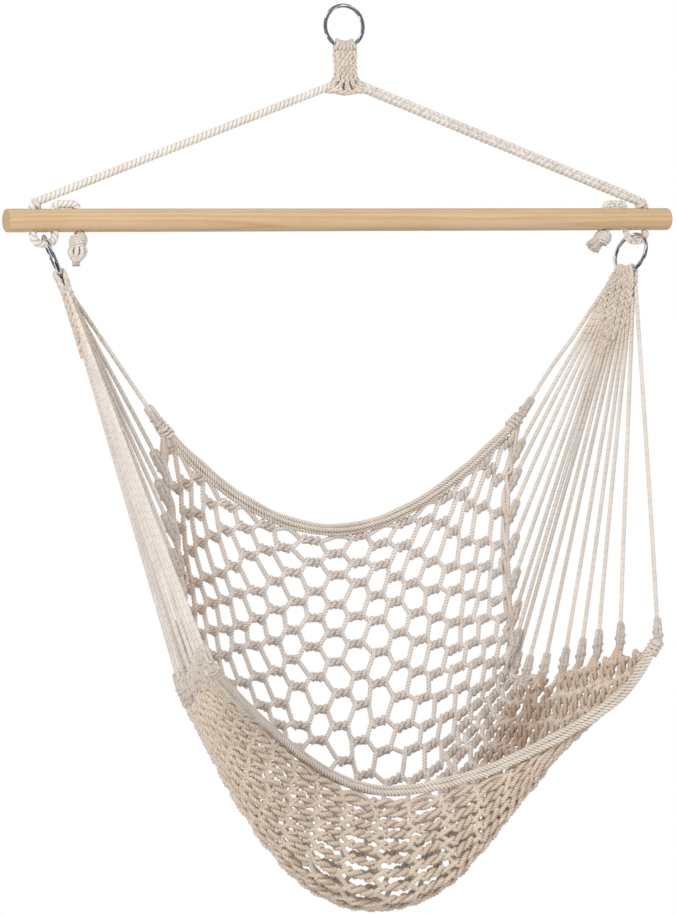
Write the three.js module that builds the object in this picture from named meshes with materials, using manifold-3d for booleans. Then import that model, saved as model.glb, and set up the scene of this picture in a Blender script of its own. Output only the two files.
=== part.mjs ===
// Hanging net chair. A steel ring carries a woven neck and two ropes, and the ropes lace through
// a wooden bar. Two smaller rings hang in the lacing, and a fan of cords from each holds the net seat.
// Millimetres, +Z up, X along the bar, -Y towards the front of the seat.
// The origin is the point of the top ring's inside that bears on the hook.
import * as THREE from "three";
import { mergeVertices } from "three/addons/utils/BufferGeometryUtils.js";
import Module from "manifold-3d";

const wasm = await Module();
wasm.setup();

// Steel rings, three alike
const ringOuter = 50;
const ringWire = 4.5;

// Running gap between pieces that touch or turn on each other
const gap = 0.35;

// Cord bights that wrap a ring's wire
const bightCord = 5.1;
const bightCount = 5;
const valleyShare = 0.3;
const bightHalfAngle = THREE.MathUtils.degToRad(32);

// Woven neck under the top ring
const neckLength = 44;
const neckWidth = 25;
const neckWaist = 23;
const neckThickness = 13;
const neckRounding = 2.5;
const shoulderWidth = 36;
const shoulderDrop = 35;

// Wooden bar
const barLength = 800;
const barDiameter = 25;
const barEndRounding = 3;
const barDrop = 212;
const holeDiameter = 12;
const outerHoleInset = 30;
const middleHoleInset = 54.5;
const innerHoleInset = 81;

// Ropes
const ropeDiameter = 9;
const wideRope = 12;
const lacingDrop = 24.5;
const lacingBend = 9;
const crownBend = 6.5;
const shoulderBend = 7;
const shoulderRise = 13;

// Stopper knots at the ropes' ends
const knotRadius = 11;
const knotLength = 28;
const knotTail = 9;
const rightKnotLean = THREE.MathUtils.degToRad(20);
const knotTopShare = 0.5;

// Outline of a stopper knot below its flat top, as shares of its radius and of its length
const knotShares = [
  [0.86, 0.13],
  [1, 0.32],
  [0.84, 0.5],
  [0.98, 0.68],
  [0.95, 0.84],
  [0.7, 0.98],
];

// How the lower rings hang
const ringLean = THREE.MathUtils.degToRad(21);
const ringForward = THREE.MathUtils.degToRad(5);
const ringTwist = THREE.MathUtils.degToRad(18);

// Clews: the woven part of each fan, and its cords
const clewReach = 92;
const clewMiddleReach = 112;
const clewTopThickness = 12;
const clewEndThickness = 6.5;
const clewCord = 5.6;
const clewCordStart = 3.3;
const clewCordPoint = 2.6;
const clewCordTaperShare = 0.35;
const rootSpread = 0.8;
const clewCordCount = 16;
const edgeKnotDiameter = 9.6;
const edgeKnotLength = 20;
const edgeKnotTaper = 3;

// Net seat
const netHalfWidth = 281;
const netReach = 161;
const netDrop = 755;
const seatTurn = THREE.MathUtils.degToRad(6);
const backRimDiameter = 12;
const frontRimDiameter = 15;
const netCord = 4.6;
const twistWidth = 7.6;
const twistLength = 18;
const netThickness = 5.2;
const edgeStub = 10;
const longestCorner = 9;
const straightSine = 0.2;
const netColumns = 15;
const netGaps = 29;
const rowStartShare = 0.055;
const rowEndShare = 0.955;
const rowSpread = 1.15;

// Side edge of the net from its back corner to its front corner, as shares of the half width,
// of the reach to the front and of the drop below the bar
const edgeShares = [
  [0.822, -0.147, 0.291],
  [0.79, -0.205, 0.377],
  [0.762, -0.182, 0.464],
  [0.751, -0.147, 0.55],
  [0.747, -0.121, 0.623],
  [0.758, -0.155, 0.675],
  [0.79, 0.018, 0.678],
  [0.829, 0.268, 0.668],
  [0.868, 0.469, 0.649],
  [0.915, 0.67, 0.633],
  [1, 1, 0.623],
];

// Middle line of the net from the back rim to the front rim, as shares of the reach and the drop
const middleShares = [
  [-0.291, 0.45],
  [-0.336, 0.493],
  [-0.356, 0.54],
  [-0.357, 0.623],
  [-0.336, 0.722],
  [-0.257, 0.848],
  [-0.075, 0.943],
  [0.182, 1],
  [0.414, 0.983],
  [0.401, 0.914],
  [0.254, 0.828],
];

// How full the net hangs across at the same stations: 2 is a parabola, and more is a fuller bag
const fullnessShares = [1.9, 1.9, 1.9, 1.9, 1.9, 2, 2.1, 2.2, 2.2, 2, 1.8];

// Facets
const ringSteps = 28;
const ringSides = 8;
const bightSides = 12;
const barSides = 24;
const easeSteps = 3;
const holeSides = 16;
const ropeSides = 8;
const bendSteps = 5;
const knotSides = 12;
const cordSides = 6;
const rimSides = 8;
const rimSteps = 26;
const spanSamples = 48;

// Sizes that follow from those above
const wireRadius = ringWire / 2;
const ringRadius = ringOuter / 2 - wireRadius;
const ringCentreZ = wireRadius - ringRadius;
const barZ = ringCentreZ - barDrop;
const outerHole = barLength / 2 - outerHoleInset;
const middleHole = barLength / 2 - middleHoleInset;
const innerHole = barLength / 2 - innerHoleInset;
const ropeRadius = ropeDiameter / 2;
const boreRadius = wireRadius + gap;
const bightRadius = boreRadius + bightCord;
const overrun = barDiameter;

const cotton = { color: 0xdccfbf, roughness: 0.95, metalness: 0 };
const cottonDark = { color: 0xd2c2ae, roughness: 0.95, metalness: 0 };
const pine = { color: 0xe0bd8c, roughness: 0.6, metalness: 0 };
const chrome = { color: 0xc8ccd0, roughness: 0.15, metalness: 1 };

function v3(x, y, z) {
  return new THREE.Vector3(x, y, z);
}

function piece(name, geometry, look) {
  const mesh = new THREE.Mesh(geometry, new THREE.MeshStandardMaterial(look));
  mesh.name = name;
  return mesh;
}

// A closed geometry as a solid for booleans, and back
function toSolid(geometry) {
  const plain = geometry.clone();
  plain.deleteAttribute("normal");
  plain.deleteAttribute("uv");
  const merged = mergeVertices(plain);
  return new wasm.Manifold(
    new wasm.Mesh({
      numProp: 3,
      vertProperties: merged.attributes.position.array,
      triVerts: new Uint32Array(merged.index.array),
    }),
  );
}

function toGeometry(solid) {
  const mesh = solid.getMesh();
  const geometry = new THREE.BufferGeometry();
  geometry.setAttribute("position", new THREE.BufferAttribute(mesh.vertProperties, 3));
  geometry.setIndex(new THREE.BufferAttribute(mesh.triVerts, 1));
  geometry.computeVertexNormals();
  return geometry;
}

// A route through given points, with a section at each point
class Route extends THREE.Curve {
  constructor(points) {
    super();
    this.points = points;
  }
  getPoint(t) {
    const last = this.points.length - 1;
    const i = Math.min(Math.floor(t * last), last - 1);
    return this.points[i].clone().lerp(this.points[i + 1], t * last - i);
  }
  getPointAt(u) {
    return this.getPoint(u);
  }
  getTangentAt(u) {
    const last = this.points.length - 1;
    const i = Math.round(u * last);
    const before = i > 0 ? this.stretch(i - 1) : this.stretch(0);
    const after = i < last ? this.stretch(i) : this.stretch(last - 1);
    return before.add(after).normalize();
  }
  stretch(i) {
    return this.points[i + 1].clone().sub(this.points[i]).normalize();
  }
}

function sectionShape(halfAcross, halfInPlane, sides) {
  const points = [];
  for (let i = 0; i < sides; i++) {
    const angle = (2 * Math.PI * (i + 0.5)) / sides;
    points.push(new THREE.Vector2(halfAcross * Math.cos(angle), halfInPlane * Math.sin(angle)));
  }
  return new THREE.Shape(points);
}

function tube(points, shape) {
  return new THREE.ExtrudeGeometry(shape, {
    steps: points.length - 1,
    extrudePath: new Route(points),
    bevelEnabled: false,
  });
}

// Points of an arc in the XZ plane
function arcPoints(x, z, radius, from, to, steps) {
  const points = [];
  for (let i = 0; i <= steps; i++) {
    const angle = from + ((to - from) * i) / steps;
    points.push(v3(x + radius * Math.cos(angle), 0, z + radius * Math.sin(angle)));
  }
  return points;
}

// A solid from rows of points: each row is a closed loop, and the rows join in order.
// Where the rows don't close on themselves, each end row is filled.
function rowSolid(rows, closed) {
  const count = rows[0].length;
  const index = [];
  const links = closed ? rows.length : rows.length - 1;
  for (let r = 0; r < links; r++) {
    const next = (r + 1) % rows.length;
    for (let i = 0; i < count; i++) {
      const j = (i + 1) % count;
      index.push(r * count + i, r * count + j, next * count + j);
      index.push(r * count + i, next * count + j, next * count + i);
    }
  }
  if (!closed) {
    const end = (rows.length - 1) * count;
    for (let i = 1; i < count - 1; i++) {
      index.push(0, i + 1, i);
      index.push(end, end + i, end + i + 1);
    }
  }
  const geometry = new THREE.BufferGeometry().setFromPoints(rows.flat());
  geometry.setIndex(index);
  geometry.computeVertexNormals();
  return geometry;
}

// A round steel ring about the local Y axis
function ringGeometry() {
  const section = [];
  for (let i = 0; i <= ringSides; i++) {
    const angle = (2 * Math.PI * (i % ringSides)) / ringSides;
    section.push(
      new THREE.Vector2(ringRadius + wireRadius * Math.cos(angle), wireRadius * Math.sin(angle)),
    );
  }
  return new THREE.LatheGeometry(section, ringSteps);
}

// One loop of points round the wire, at an angle from the ring's lowest point
function loopRoundWire(angle, radius) {
  const outward = v3(Math.sin(angle), 0, -Math.cos(angle));
  const centre = outward.clone().multiplyScalar(ringRadius);
  const loop = [];
  for (let i = 0; i < bightSides; i++) {
    const around = (2 * Math.PI * i) / bightSides;
    loop.push(
      centre
        .clone()
        .addScaledVector(outward, radius * Math.cos(around))
        .addScaledVector(v3(0, 1, 0), radius * Math.sin(around)),
    );
  }
  return loop;
}

// Bights of cord side by side round the wire, with a bore that the wire runs through
function bightSleeve() {
  const rows = [];
  const stations = 2 * bightCount;
  const bore = boreRadius / Math.cos(Math.PI / bightSides);
  const valley = bightRadius - bightCord * valleyShare;
  for (let k = 0; k <= stations; k++) {
    const angle = bightHalfAngle * ((2 * k) / stations - 1);
    rows.push(loopRoundWire(angle, k % 2 ? bightRadius : valley));
  }
  for (let k = stations; k >= 0; k -= 2) {
    const angle = bightHalfAngle * ((2 * k) / stations - 1);
    rows.push(loopRoundWire(angle, bore));
  }
  return rowSolid(rows, true);
}

// The neck's outline, cut at the top to turn on the bights and at each shoulder to meet a rope
function neckBand(ropeStart, ropeSlope) {
  const top = ringCentreZ - ringRadius;
  const tip = top - bightRadius - neckLength;
  const along = new THREE.Vector2(-Math.sin(ropeSlope), Math.cos(ropeSlope));
  const half = wideRope / 2 + gap;
  const upper = new THREE.Vector2(ropeStart.x, ropeStart.z).addScaledVector(along, half);
  const lower = new THREE.Vector2(ropeStart.x, ropeStart.z).addScaledVector(along, -half);
  const side = [
    new THREE.Vector2(neckWidth / 2, top),
    new THREE.Vector2(neckWidth / 2, top - bightRadius - gap),
    new THREE.Vector2(neckWaist / 2, top - shoulderDrop),
    new THREE.Vector2(-upper.x, upper.y),
    new THREE.Vector2(-lower.x, lower.y),
  ];
  const mirrored = side.map((p) => new THREE.Vector2(-p.x, p.y)).reverse();
  const outline = [...side, new THREE.Vector2(0, tip), ...mirrored].reverse();
  const slab = new THREE.ExtrudeGeometry(new THREE.Shape(outline), {
    depth: neckThickness - 2 * neckRounding,
    bevelThickness: neckRounding,
    bevelSize: neckRounding / 2,
    bevelOffset: -neckRounding / 2,
    bevelSegments: 1,
  });
  slab.translate(0, 0, neckRounding - neckThickness / 2);
  slab.rotateX(Math.PI / 2);
  const seatRadius = (bightRadius + gap) / Math.cos(Math.PI / barSides);
  const seat = new THREE.CylinderGeometry(seatRadius, seatRadius, neckWidth + overrun, barSides);
  seat.rotateZ(Math.PI / 2);
  seat.translate(0, 0, top);
  return toGeometry(toSolid(slab).subtract(toSolid(seat)));
}

// The rope's route on the right-hand side: from the neck to the outer hole, down through it,
// under the bar, up through the middle hole, over the bar and down through the inner hole
function ropeRoute() {
  const bendX = outerHole - shoulderBend;
  const bendZ = barZ + shoulderRise;
  const neckEndX = shoulderWidth / 2;
  const neckEndZ = ringCentreZ - ringRadius - bightRadius - shoulderDrop;
  const reachX = bendX - neckEndX;
  const reachZ = neckEndZ - bendZ;
  const slope = Math.atan2(reachZ, reachX) - Math.asin(shoulderBend / Math.hypot(reachX, reachZ));
  const topAngle = Math.PI / 2 - slope;
  const shoulder = arcPoints(bendX, bendZ, shoulderBend, topAngle, 0, bendSteps);
  const start = v3(neckEndX, 0, neckEndZ);
  const underZ = barZ - lacingDrop + lacingBend;
  const crownZ = barZ + barDiameter / 2 + gap + ropeRadius - crownBend;
  const lacing = [
    ...shoulder,
    ...arcPoints(outerHole - lacingBend, underZ, lacingBend, 0, -Math.PI / 2, bendSteps),
    ...arcPoints(middleHole + lacingBend, underZ, lacingBend, -Math.PI / 2, -Math.PI, bendSteps),
    ...arcPoints(middleHole - crownBend, crownZ, crownBend, 0, Math.PI / 2, bendSteps),
    ...arcPoints(innerHole + crownBend, crownZ, crownBend, Math.PI / 2, Math.PI, bendSteps),
    v3(innerHole, 0, barZ - barDiameter / 2),
  ];
  return { start, slope, lacing };
}

// A suspension rope with its lacing. The stretch up to the neck is round or flattened.
function suspensionRope(route, width) {
  const toNeck = route.start.clone().sub(route.lacing[0]);
  const end = route.lacing[0].clone().addScaledVector(toNeck, 1 - gap / toNeck.length());
  const lead = route.lacing[0].clone().addScaledVector(toNeck, ropeDiameter / toNeck.length());
  const bend = route.lacing[0].clone().lerp(route.lacing[1], 0.5);
  const thin = tube([lead, ...route.lacing], sectionShape(ropeRadius, ropeRadius, ropeSides));
  const wide = tube([end, bend], sectionShape(ropeRadius, width / 2, ropeSides));
  return toGeometry(toSolid(thin).add(toSolid(wide)));
}

// A knot drawn up under the bar, with its short tail
function stopperKnot() {
  const top = [new THREE.Vector2(0, 0), new THREE.Vector2(knotTopShare * knotRadius, 0)];
  const body = knotShares.map(([r, z]) => new THREE.Vector2(r * knotRadius, -z * knotLength));
  const tail = [
    new THREE.Vector2(ropeRadius, -knotLength),
    new THREE.Vector2(ropeRadius, -knotLength - knotTail),
    new THREE.Vector2(0, -knotLength - knotTail),
  ];
  const profile = [...top, ...body, ...tail].reverse();
  const geometry = new THREE.LatheGeometry(profile, knotSides);
  geometry.rotateX(Math.PI / 2);
  return geometry;
}

// The bar: a dowel with eased ends and three holes down through each end
function spreaderBar() {
  const radius = barDiameter / 2;
  const half = barLength / 2;
  const ease = [];
  for (let i = 0; i <= easeSteps; i++) {
    const angle = (Math.PI / 2) * (i / easeSteps);
    ease.push([
      radius - barEndRounding * (1 - Math.sin(angle)),
      half - barEndRounding * (1 - Math.cos(angle)),
    ]);
  }
  const upper = [...ease].reverse().map(([r, y]) => new THREE.Vector2(r, y));
  const lower = ease.map(([r, y]) => new THREE.Vector2(r, -y));
  const profile = [new THREE.Vector2(0, -half), ...lower, ...upper, new THREE.Vector2(0, half)];
  const dowel = new THREE.LatheGeometry(profile, barSides);
  dowel.rotateZ(Math.PI / 2);
  let solid = toSolid(dowel);
  for (const x of [outerHole, middleHole, innerHole]) {
    for (const side of [-1, 1]) {
      const drill = new THREE.CylinderGeometry(
        holeDiameter / 2,
        holeDiameter / 2,
        barDiameter + overrun,
        holeSides,
      );
      drill.rotateX(Math.PI / 2);
      drill.translate(side * x, 0, 0);
      solid = solid.subtract(toSolid(drill));
    }
  }
  return toGeometry(solid);
}

// A smooth value through a list of stations, at a share of its length
function between(list, share) {
  const last = list.length - 1;
  const x = THREE.MathUtils.clamp(share, 0, 1) * last;
  const i = Math.min(Math.floor(x), last - 1);
  const f = x - i;
  const p1 = list[i];
  const p2 = list[i + 1];
  const p0 = i > 0 ? list[i - 1] : 2 * p1 - p2;
  const p3 = i + 2 <= last ? list[i + 2] : 2 * p2 - p1;
  const a = 2 * p1;
  const b = p2 - p0;
  const c = 2 * p0 - 5 * p1 + 4 * p2 - p3;
  const d = 3 * p1 - p0 - 3 * p2 + p3;
  return 0.5 * (a + b * f + c * f * f + d * f * f * f);
}

function column(table, i) {
  return table.map((row) => row[i]);
}

// A point of the net: across runs from -1 at the left edge to 1 at the right edge,
// and down from 0 at the back rim to 1 at the front rim
function netPoint(across, down) {
  const edgeX = netHalfWidth * between(column(edgeShares, 0), down);
  const edgeY = -netReach * between(column(edgeShares, 1), down);
  const edgeZ = -netDrop * between(column(edgeShares, 2), down);
  const middleY = -netReach * between(column(middleShares, 0), down);
  const middleZ = -netDrop * between(column(middleShares, 1), down);
  const sag = 1 - Math.abs(across) ** between(fullnessShares, down);
  const point = v3(
    edgeX * across,
    THREE.MathUtils.lerp(edgeY, middleY, sag),
    barZ + THREE.MathUtils.lerp(edgeZ, middleZ, sag),
  );
  return point.applyAxisAngle(v3(0, 0, 1), seatTurn);
}

// The length of a row across the net, and the place on it at a share of that length
const spans = new Map();

function span(down) {
  if (!spans.has(down)) {
    const lengths = [0];
    for (let i = 1; i <= spanSamples; i++) {
      const before = netPoint((2 * (i - 1)) / spanSamples - 1, down);
      const here = netPoint((2 * i) / spanSamples - 1, down);
      lengths.push(lengths[i - 1] + before.distanceTo(here));
    }
    spans.set(down, lengths);
  }
  return spans.get(down);
}

function rowPoint(share, down) {
  const lengths = span(down);
  const wanted = THREE.MathUtils.clamp(share, 0, 1) * lengths[spanSamples];
  let i = 1;
  while (i < spanSamples && lengths[i] < wanted) i++;
  const part = (wanted - lengths[i - 1]) / (lengths[i] - lengths[i - 1]);
  return netPoint((2 * (i - 1 + part)) / spanSamples - 1, down);
}

function netNormal(share, down) {
  const step = 1 / spanSamples;
  const across = rowPoint(share + step, down).sub(rowPoint(share - step, down));
  const low = Math.max(down - step, 0);
  const high = Math.min(down + step, 1);
  const along = rowPoint(share, high).sub(rowPoint(share, low));
  return across.cross(along).normalize();
}

function rowDown(row) {
  const share = (row / (netGaps - 1)) ** rowSpread;
  return rowStartShare + (rowEndShare - rowStartShare) * share;
}

// Places on a side edge that the fan's cords come to: the two corners and each knot between
function edgePoints(side) {
  const points = [netPoint(side, 0)];
  for (let i = 1; i < clewCordCount - 1; i++) {
    points.push(netPoint(side, rowDown(2 * i - 1)));
  }
  points.push(netPoint(side, 1));
  return points;
}

// The frame of a lower ring: local -Z is the pull and local X points to the front
function ringFrame(side) {
  const pull = v3(
    -side * Math.sin(ringLean),
    -Math.sin(ringForward) * Math.cos(ringLean),
    -Math.cos(ringForward) * Math.cos(ringLean),
  );
  const front = v3(side * Math.sin(ringTwist), -Math.cos(ringTwist), 0);
  front.addScaledVector(pull, -front.dot(pull)).normalize();
  const axis = front.clone().cross(pull).normalize();
  const lift = (ropeRadius + gap + wireRadius) / Math.hypot(pull.y, pull.z);
  const top = v3((side * (outerHole + middleHole)) / 2, -pull.y * lift, barZ - lacingDrop - pull.z * lift);
  const group = new THREE.Group();
  group.position.copy(top).addScaledVector(pull, ringRadius);
  const basis = new THREE.Matrix4().makeBasis(front, axis, pull.clone().negate());
  group.quaternion.setFromRotationMatrix(basis);
  group.updateMatrixWorld(true);
  return group;
}

// Where each cord of the fan leaves the ring, where it leaves the weave and where it ends
function fanCords(side, group) {
  const ends = edgePoints(side).map((p) => group.worldToLocal(p.clone()));
  const last = ends.length - 1;
  return ends.map((end, i) => {
    const place = (2 * i) / last - 1;
    const angle = bightHalfAngle * Math.sign(place) * Math.abs(place) ** rootSpread;
    const reach = ringRadius + (boreRadius + bightRadius) / 2;
    const root = v3(Math.sin(angle), 0, -Math.cos(angle)).multiplyScalar(reach);
    const direction = end.clone().sub(root).normalize();
    const length = THREE.MathUtils.lerp(clewMiddleReach, clewReach, Math.abs(place));
    const start = root.clone().addScaledVector(direction, length);
    return { root, start, end, direction };
  });
}

// The woven part of the fan: bights round the ring, and a web that spreads to the cords
function clewWeave(cords) {
  const rows = cords.map((cord, i) => {
    const before = cords[Math.max(i - 1, 0)];
    const after = cords[Math.min(i + 1, cords.length - 1)];
    const web = after.start.clone().sub(before.start).cross(cord.direction).normalize();
    const flat = v3(0, web.y < 0 ? -1 : 1, 0);
    const middle = cord.root.clone().lerp(cord.start, 0.5);
    const lean = flat.clone().lerp(web, 0.5).normalize();
    const top = clewTopThickness / 2;
    const end = clewEndThickness / 2;
    return [
      cord.root.clone().addScaledVector(flat, -top),
      middle.clone().addScaledVector(lean, -(top + end) / 2),
      cord.start.clone().addScaledVector(web, -end),
      cord.start.clone().addScaledVector(web, end),
      middle.clone().addScaledVector(lean, (top + end) / 2),
      cord.root.clone().addScaledVector(flat, top),
    ];
  });
  const web = toSolid(rowSolid(rows, false));
  return toGeometry(toSolid(bightSleeve()).add(web));
}

// A straight cord of the fan, doubled in fact: its two parts lie one behind the other where
// they leave the weave, and spread to the wrapped knot at the lower end
function clewCordPiece(name, cord) {
  const length = cord.end.distanceTo(cord.start) - gap;
  const thin = clewCord / 2;
  const thick = edgeKnotDiameter / 2;
  const knotTop = length - edgeKnotLength;
  const profile = [
    new THREE.Vector2(0, 0),
    new THREE.Vector2(clewCordStart / 2, clewCordPoint),
    new THREE.Vector2(thin, length * clewCordTaperShare),
    new THREE.Vector2(thin, knotTop - edgeKnotTaper),
    new THREE.Vector2(thick, knotTop),
    new THREE.Vector2(thick, length - edgeKnotTaper),
    new THREE.Vector2(thin, length),
    new THREE.Vector2(0, length),
  ];
  const mesh = piece(name, new THREE.LatheGeometry(profile, cordSides), cotton);
  mesh.position.copy(cord.start).addScaledVector(cord.direction, gap);
  mesh.quaternion.setFromUnitVectors(v3(0, 1, 0), cord.direction);
  return mesh;
}

function rimLine(down) {
  const points = [];
  for (let i = 0; i <= rimSteps; i++) points.push(rowPoint(i / rimSteps, down));
  return points;
}

// The place on a rim's middle line that is nearest to a point
function nearestOnRim(point, down) {
  const line = rimLine(down);
  let best = line[0];
  for (let i = 0; i < rimSteps; i++) {
    const here = new THREE.Line3(line[i], line[i + 1]).closestPointToPoint(point, true, v3());
    if (here.distanceTo(point) < best.distanceTo(point)) best = here;
  }
  return best.clone();
}

// The rims run from corner to corner and stop clear of the corner knots
function rim(down, diameter, cornerDirections) {
  const points = rimLine(down);
  const ends = [
    [0, 1],
    [rimSteps, rimSteps - 1],
  ];
  ends.forEach(([end, next], side) => {
    const inward = points[next].clone().sub(points[end]).normalize();
    const lean = inward.dot(cornerDirections[side]);
    const sine = Math.sqrt(1 - lean * lean);
    const shoulder = (edgeKnotDiameter / 2) * sine - edgeKnotTaper * lean;
    const clear = gap + Math.max((clewCord / 2) * sine, shoulder);
    points[end].addScaledVector(inward, clear);
  });
  return tube(points, sectionShape(diameter / 2, diameter / 2, rimSides));
}

// The net is a lattice of three-way joints. Each joint has a place, a normal and its strands,
// and each strand is four-sided and mitred into its neighbours.
function strandEnd(place, inward, facing, half) {
  const normal = facing.clone().addScaledVector(inward, -facing.dot(inward)).normalize();
  const left = normal.clone().cross(inward).multiplyScalar(half);
  return { normal, left: place.clone().add(left), right: place.clone().sub(left) };
}

class Lattice {
  constructor() {
    this.points = [];
    this.index = [];
  }
  corner(point, normal, side) {
    this.points.push(point.clone().addScaledVector(normal, (side * netThickness) / 2));
    return this.points.length - 1;
  }
  quad(a, b, c, d) {
    this.index.push(a, b, c, a, c, d);
  }
  // Gives a joint its mitred corners and fills its two faces
  joint(place, normal, strands) {
    const east = strands[0].direction.clone();
    east.addScaledVector(normal, -east.dot(normal)).normalize();
    const north = normal.clone().cross(east);
    for (const strand of strands) {
      const x = strand.direction.dot(east);
      const y = strand.direction.dot(north);
      const size = Math.hypot(x, y);
      strand.x = x / size;
      strand.y = y / size;
      strand.turn = Math.atan2(y, x);
    }
    strands.sort((a, b) => a.turn - b.turn);
    const top = [];
    const bottom = [];
    strands.forEach((strand, i) => {
      const next = strands[(i + 1) % strands.length];
      const cross = strand.x * next.y - strand.y * next.x;
      let x = 0;
      let y = 0;
      if (Math.abs(cross) > straightSine) {
        x = (next.x * strand.half + strand.x * next.half) / cross;
        y = (next.y * strand.half + strand.y * next.half) / cross;
      } else {
        x = (-strand.y * (strand.half + next.half)) / 2;
        y = (strand.x * (strand.half + next.half)) / 2;
      }
      const shrink = Math.min(1, longestCorner / Math.hypot(x, y));
      const point = place.clone();
      point.addScaledVector(east, x * shrink).addScaledVector(north, y * shrink);
      top.push(this.corner(point, normal, 1));
      bottom.push(this.corner(point, normal, -1));
    });
    strands.forEach((strand, i) => {
      const before = (i + strands.length - 1) % strands.length;
      strand.corners = {
        leftTop: top[i],
        leftBottom: bottom[i],
        rightTop: top[before],
        rightBottom: bottom[before],
      };
    });
    this.index.push(...top);
    this.index.push(...[...bottom].reverse());
  }
  // Ends a strand in the open with a flat face
  cut(end) {
    const corners = {
      leftTop: this.corner(end.left, end.normal, 1),
      leftBottom: this.corner(end.left, end.normal, -1),
      rightTop: this.corner(end.right, end.normal, 1),
      rightBottom: this.corner(end.right, end.normal, -1),
    };
    this.quad(corners.rightTop, corners.leftTop, corners.leftBottom, corners.rightBottom);
    return corners;
  }
  strand(a, b) {
    this.quad(a.rightTop, b.leftTop, b.rightTop, a.leftTop);
    this.quad(a.leftBottom, b.rightBottom, b.leftBottom, a.rightBottom);
    this.quad(a.leftTop, b.rightTop, b.rightBottom, a.leftBottom);
    this.quad(b.leftTop, a.rightTop, a.rightBottom, b.leftBottom);
  }
  geometry() {
    const geometry = new THREE.BufferGeometry().setFromPoints(this.points);
    geometry.setIndex(this.index);
    geometry.computeVertexNormals();
    return geometry;
  }
}

// Joints of the net by column and row: a twist has one at each end, and an edge or a rim has one
function netJoints(knotEnds) {
  const joints = new Map();
  const add = (key, place, share, down, panel) => {
    joints.set(key, { place, normal: netNormal(share, down), strands: [], panel });
  };
  for (let c = -1; c <= netColumns; c++) {
    for (let r = 0; r < netGaps; r++) {
      if ((c + r) % 2) continue;
      const down = rowDown(r);
      const share = (c + 1) / (netColumns + 1);
      const panel = panelOf(c, r);
      if (c < 0 || c === netColumns) {
        const side = c < 0 ? 0 : 1;
        const knot = knotEnds[side][(r + 1) / 2];
        const place = knot.end.clone().addScaledVector(knot.direction, edgeStub);
        add(`${c},${r}`, place, share, down, panel);
      } else if (r === 0 || r === netGaps - 1) {
        add(`${c},${r}`, rowPoint(share, down), share, down, panel);
      } else {
        const half = twistLength / 2 / span(down)[spanSamples];
        add(`${c},${r},left`, rowPoint(share - half, down), share - half, down, panel);
        add(`${c},${r},right`, rowPoint(share + half, down), share + half, down, panel);
      }
    }
  }
  return joints;
}

// The net's panels: three across and four from the back rim to the front rim
const panelRows = ["upper_back", "lower_back", "seat", "front"];
const panelColumns = ["left", "middle", "right"];

function panelOf(c, r) {
  const column = Math.max(Math.floor((c * panelColumns.length) / netColumns), 0);
  const across = Math.min(column, panelColumns.length - 1);
  const along = Math.min(Math.floor((r * panelRows.length) / netGaps), panelRows.length - 1);
  return `net_${panelRows[along]}_${panelColumns[across]}`;
}

// Links two joints of one panel with a strand, or cuts the strand half way between two panels
function link(lattices, waiting, from, to, half) {
  const direction = to.place.clone().sub(from.place).normalize();
  const there = { direction: direction.clone(), half };
  const back = { direction: direction.clone().negate(), half };
  from.strands.push(there);
  to.strands.push(back);
  if (from.panel === to.panel) {
    waiting.push(() => lattices.get(from.panel).strand(there.corners, back.corners));
    return;
  }
  const normal = from.normal.clone().add(to.normal).normalize();
  const middle = from.place.clone().add(to.place).multiplyScalar(0.5);
  for (const [joint, strand] of [
    [from, there],
    [to, back],
  ]) {
    const place = middle.clone().addScaledVector(strand.direction, -gap / 2);
    const end = strandEnd(place, strand.direction.clone().negate(), normal, half);
    const lattice = lattices.get(joint.panel);
    waiting.push(() => lattice.strand(strand.corners, lattice.cut(end)));
  }
}

// A short stub from a joint to the face of what holds it
function stub(lattices, waiting, joint, end, half) {
  const direction = end.clone().sub(joint.place).normalize();
  const strand = { direction, half };
  joint.strands.push(strand);
  const lattice = lattices.get(joint.panel);
  const face = strandEnd(end, direction.clone().negate(), joint.normal, half);
  waiting.push(() => lattice.strand(strand.corners, lattice.cut(face)));
}

function netPanels(knotEnds) {
  const lattices = new Map();
  for (const row of panelRows) {
    for (const name of panelColumns) lattices.set(`net_${row}_${name}`, new Lattice());
  }
  const joints = netJoints(knotEnds);
  const waiting = [];
  const single = netCord / 2;
  const find = (c, r, end) => joints.get(`${c},${r},${end}`) ?? joints.get(`${c},${r}`);
  for (let c = -1; c <= netColumns; c++) {
    for (let r = 0; r < netGaps; r++) {
      if ((c + r) % 2) continue;
      const right = find(c, r, "right");
      if (joints.has(`${c},${r},left`)) {
        link(lattices, waiting, find(c, r, "left"), right, twistWidth / 2);
      }
      for (const next of [r - 1, r + 1]) {
        const neighbour = find(c + 1, next, "left");
        if (neighbour) link(lattices, waiting, right, neighbour, single);
      }
      if (c < 0 || c === netColumns) {
        const knot = knotEnds[c < 0 ? 0 : 1][(r + 1) / 2];
        const end = knot.end.clone().addScaledVector(knot.direction, gap);
        stub(lattices, waiting, right, end, single);
      } else if (r === 0 || r === netGaps - 1) {
        const front = r > 0;
        const rimCentre = nearestOnRim(right.place, front ? 1 : 0);
        const away = right.place.clone().sub(rimCentre).normalize();
        const radius = (front ? frontRimDiameter : backRimDiameter) / 2;
        stub(lattices, waiting, right, rimCentre.addScaledVector(away, radius + gap), single);
      }
    }
  }
  for (const joint of joints.values()) {
    lattices.get(joint.panel).joint(joint.place, joint.normal, joint.strands);
  }
  for (const make of waiting) make();
  return [...lattices].map(([name, lattice]) => piece(name, lattice.geometry(), cotton));
}

function topRing() {
  const mesh = piece("hanging_ring", ringGeometry(), chrome);
  mesh.position.z = ringCentreZ;
  return mesh;
}

function ringHitch() {
  const mesh = piece("ring_hitch", bightSleeve(), cotton);
  mesh.position.z = ringCentreZ;
  return mesh;
}

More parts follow.
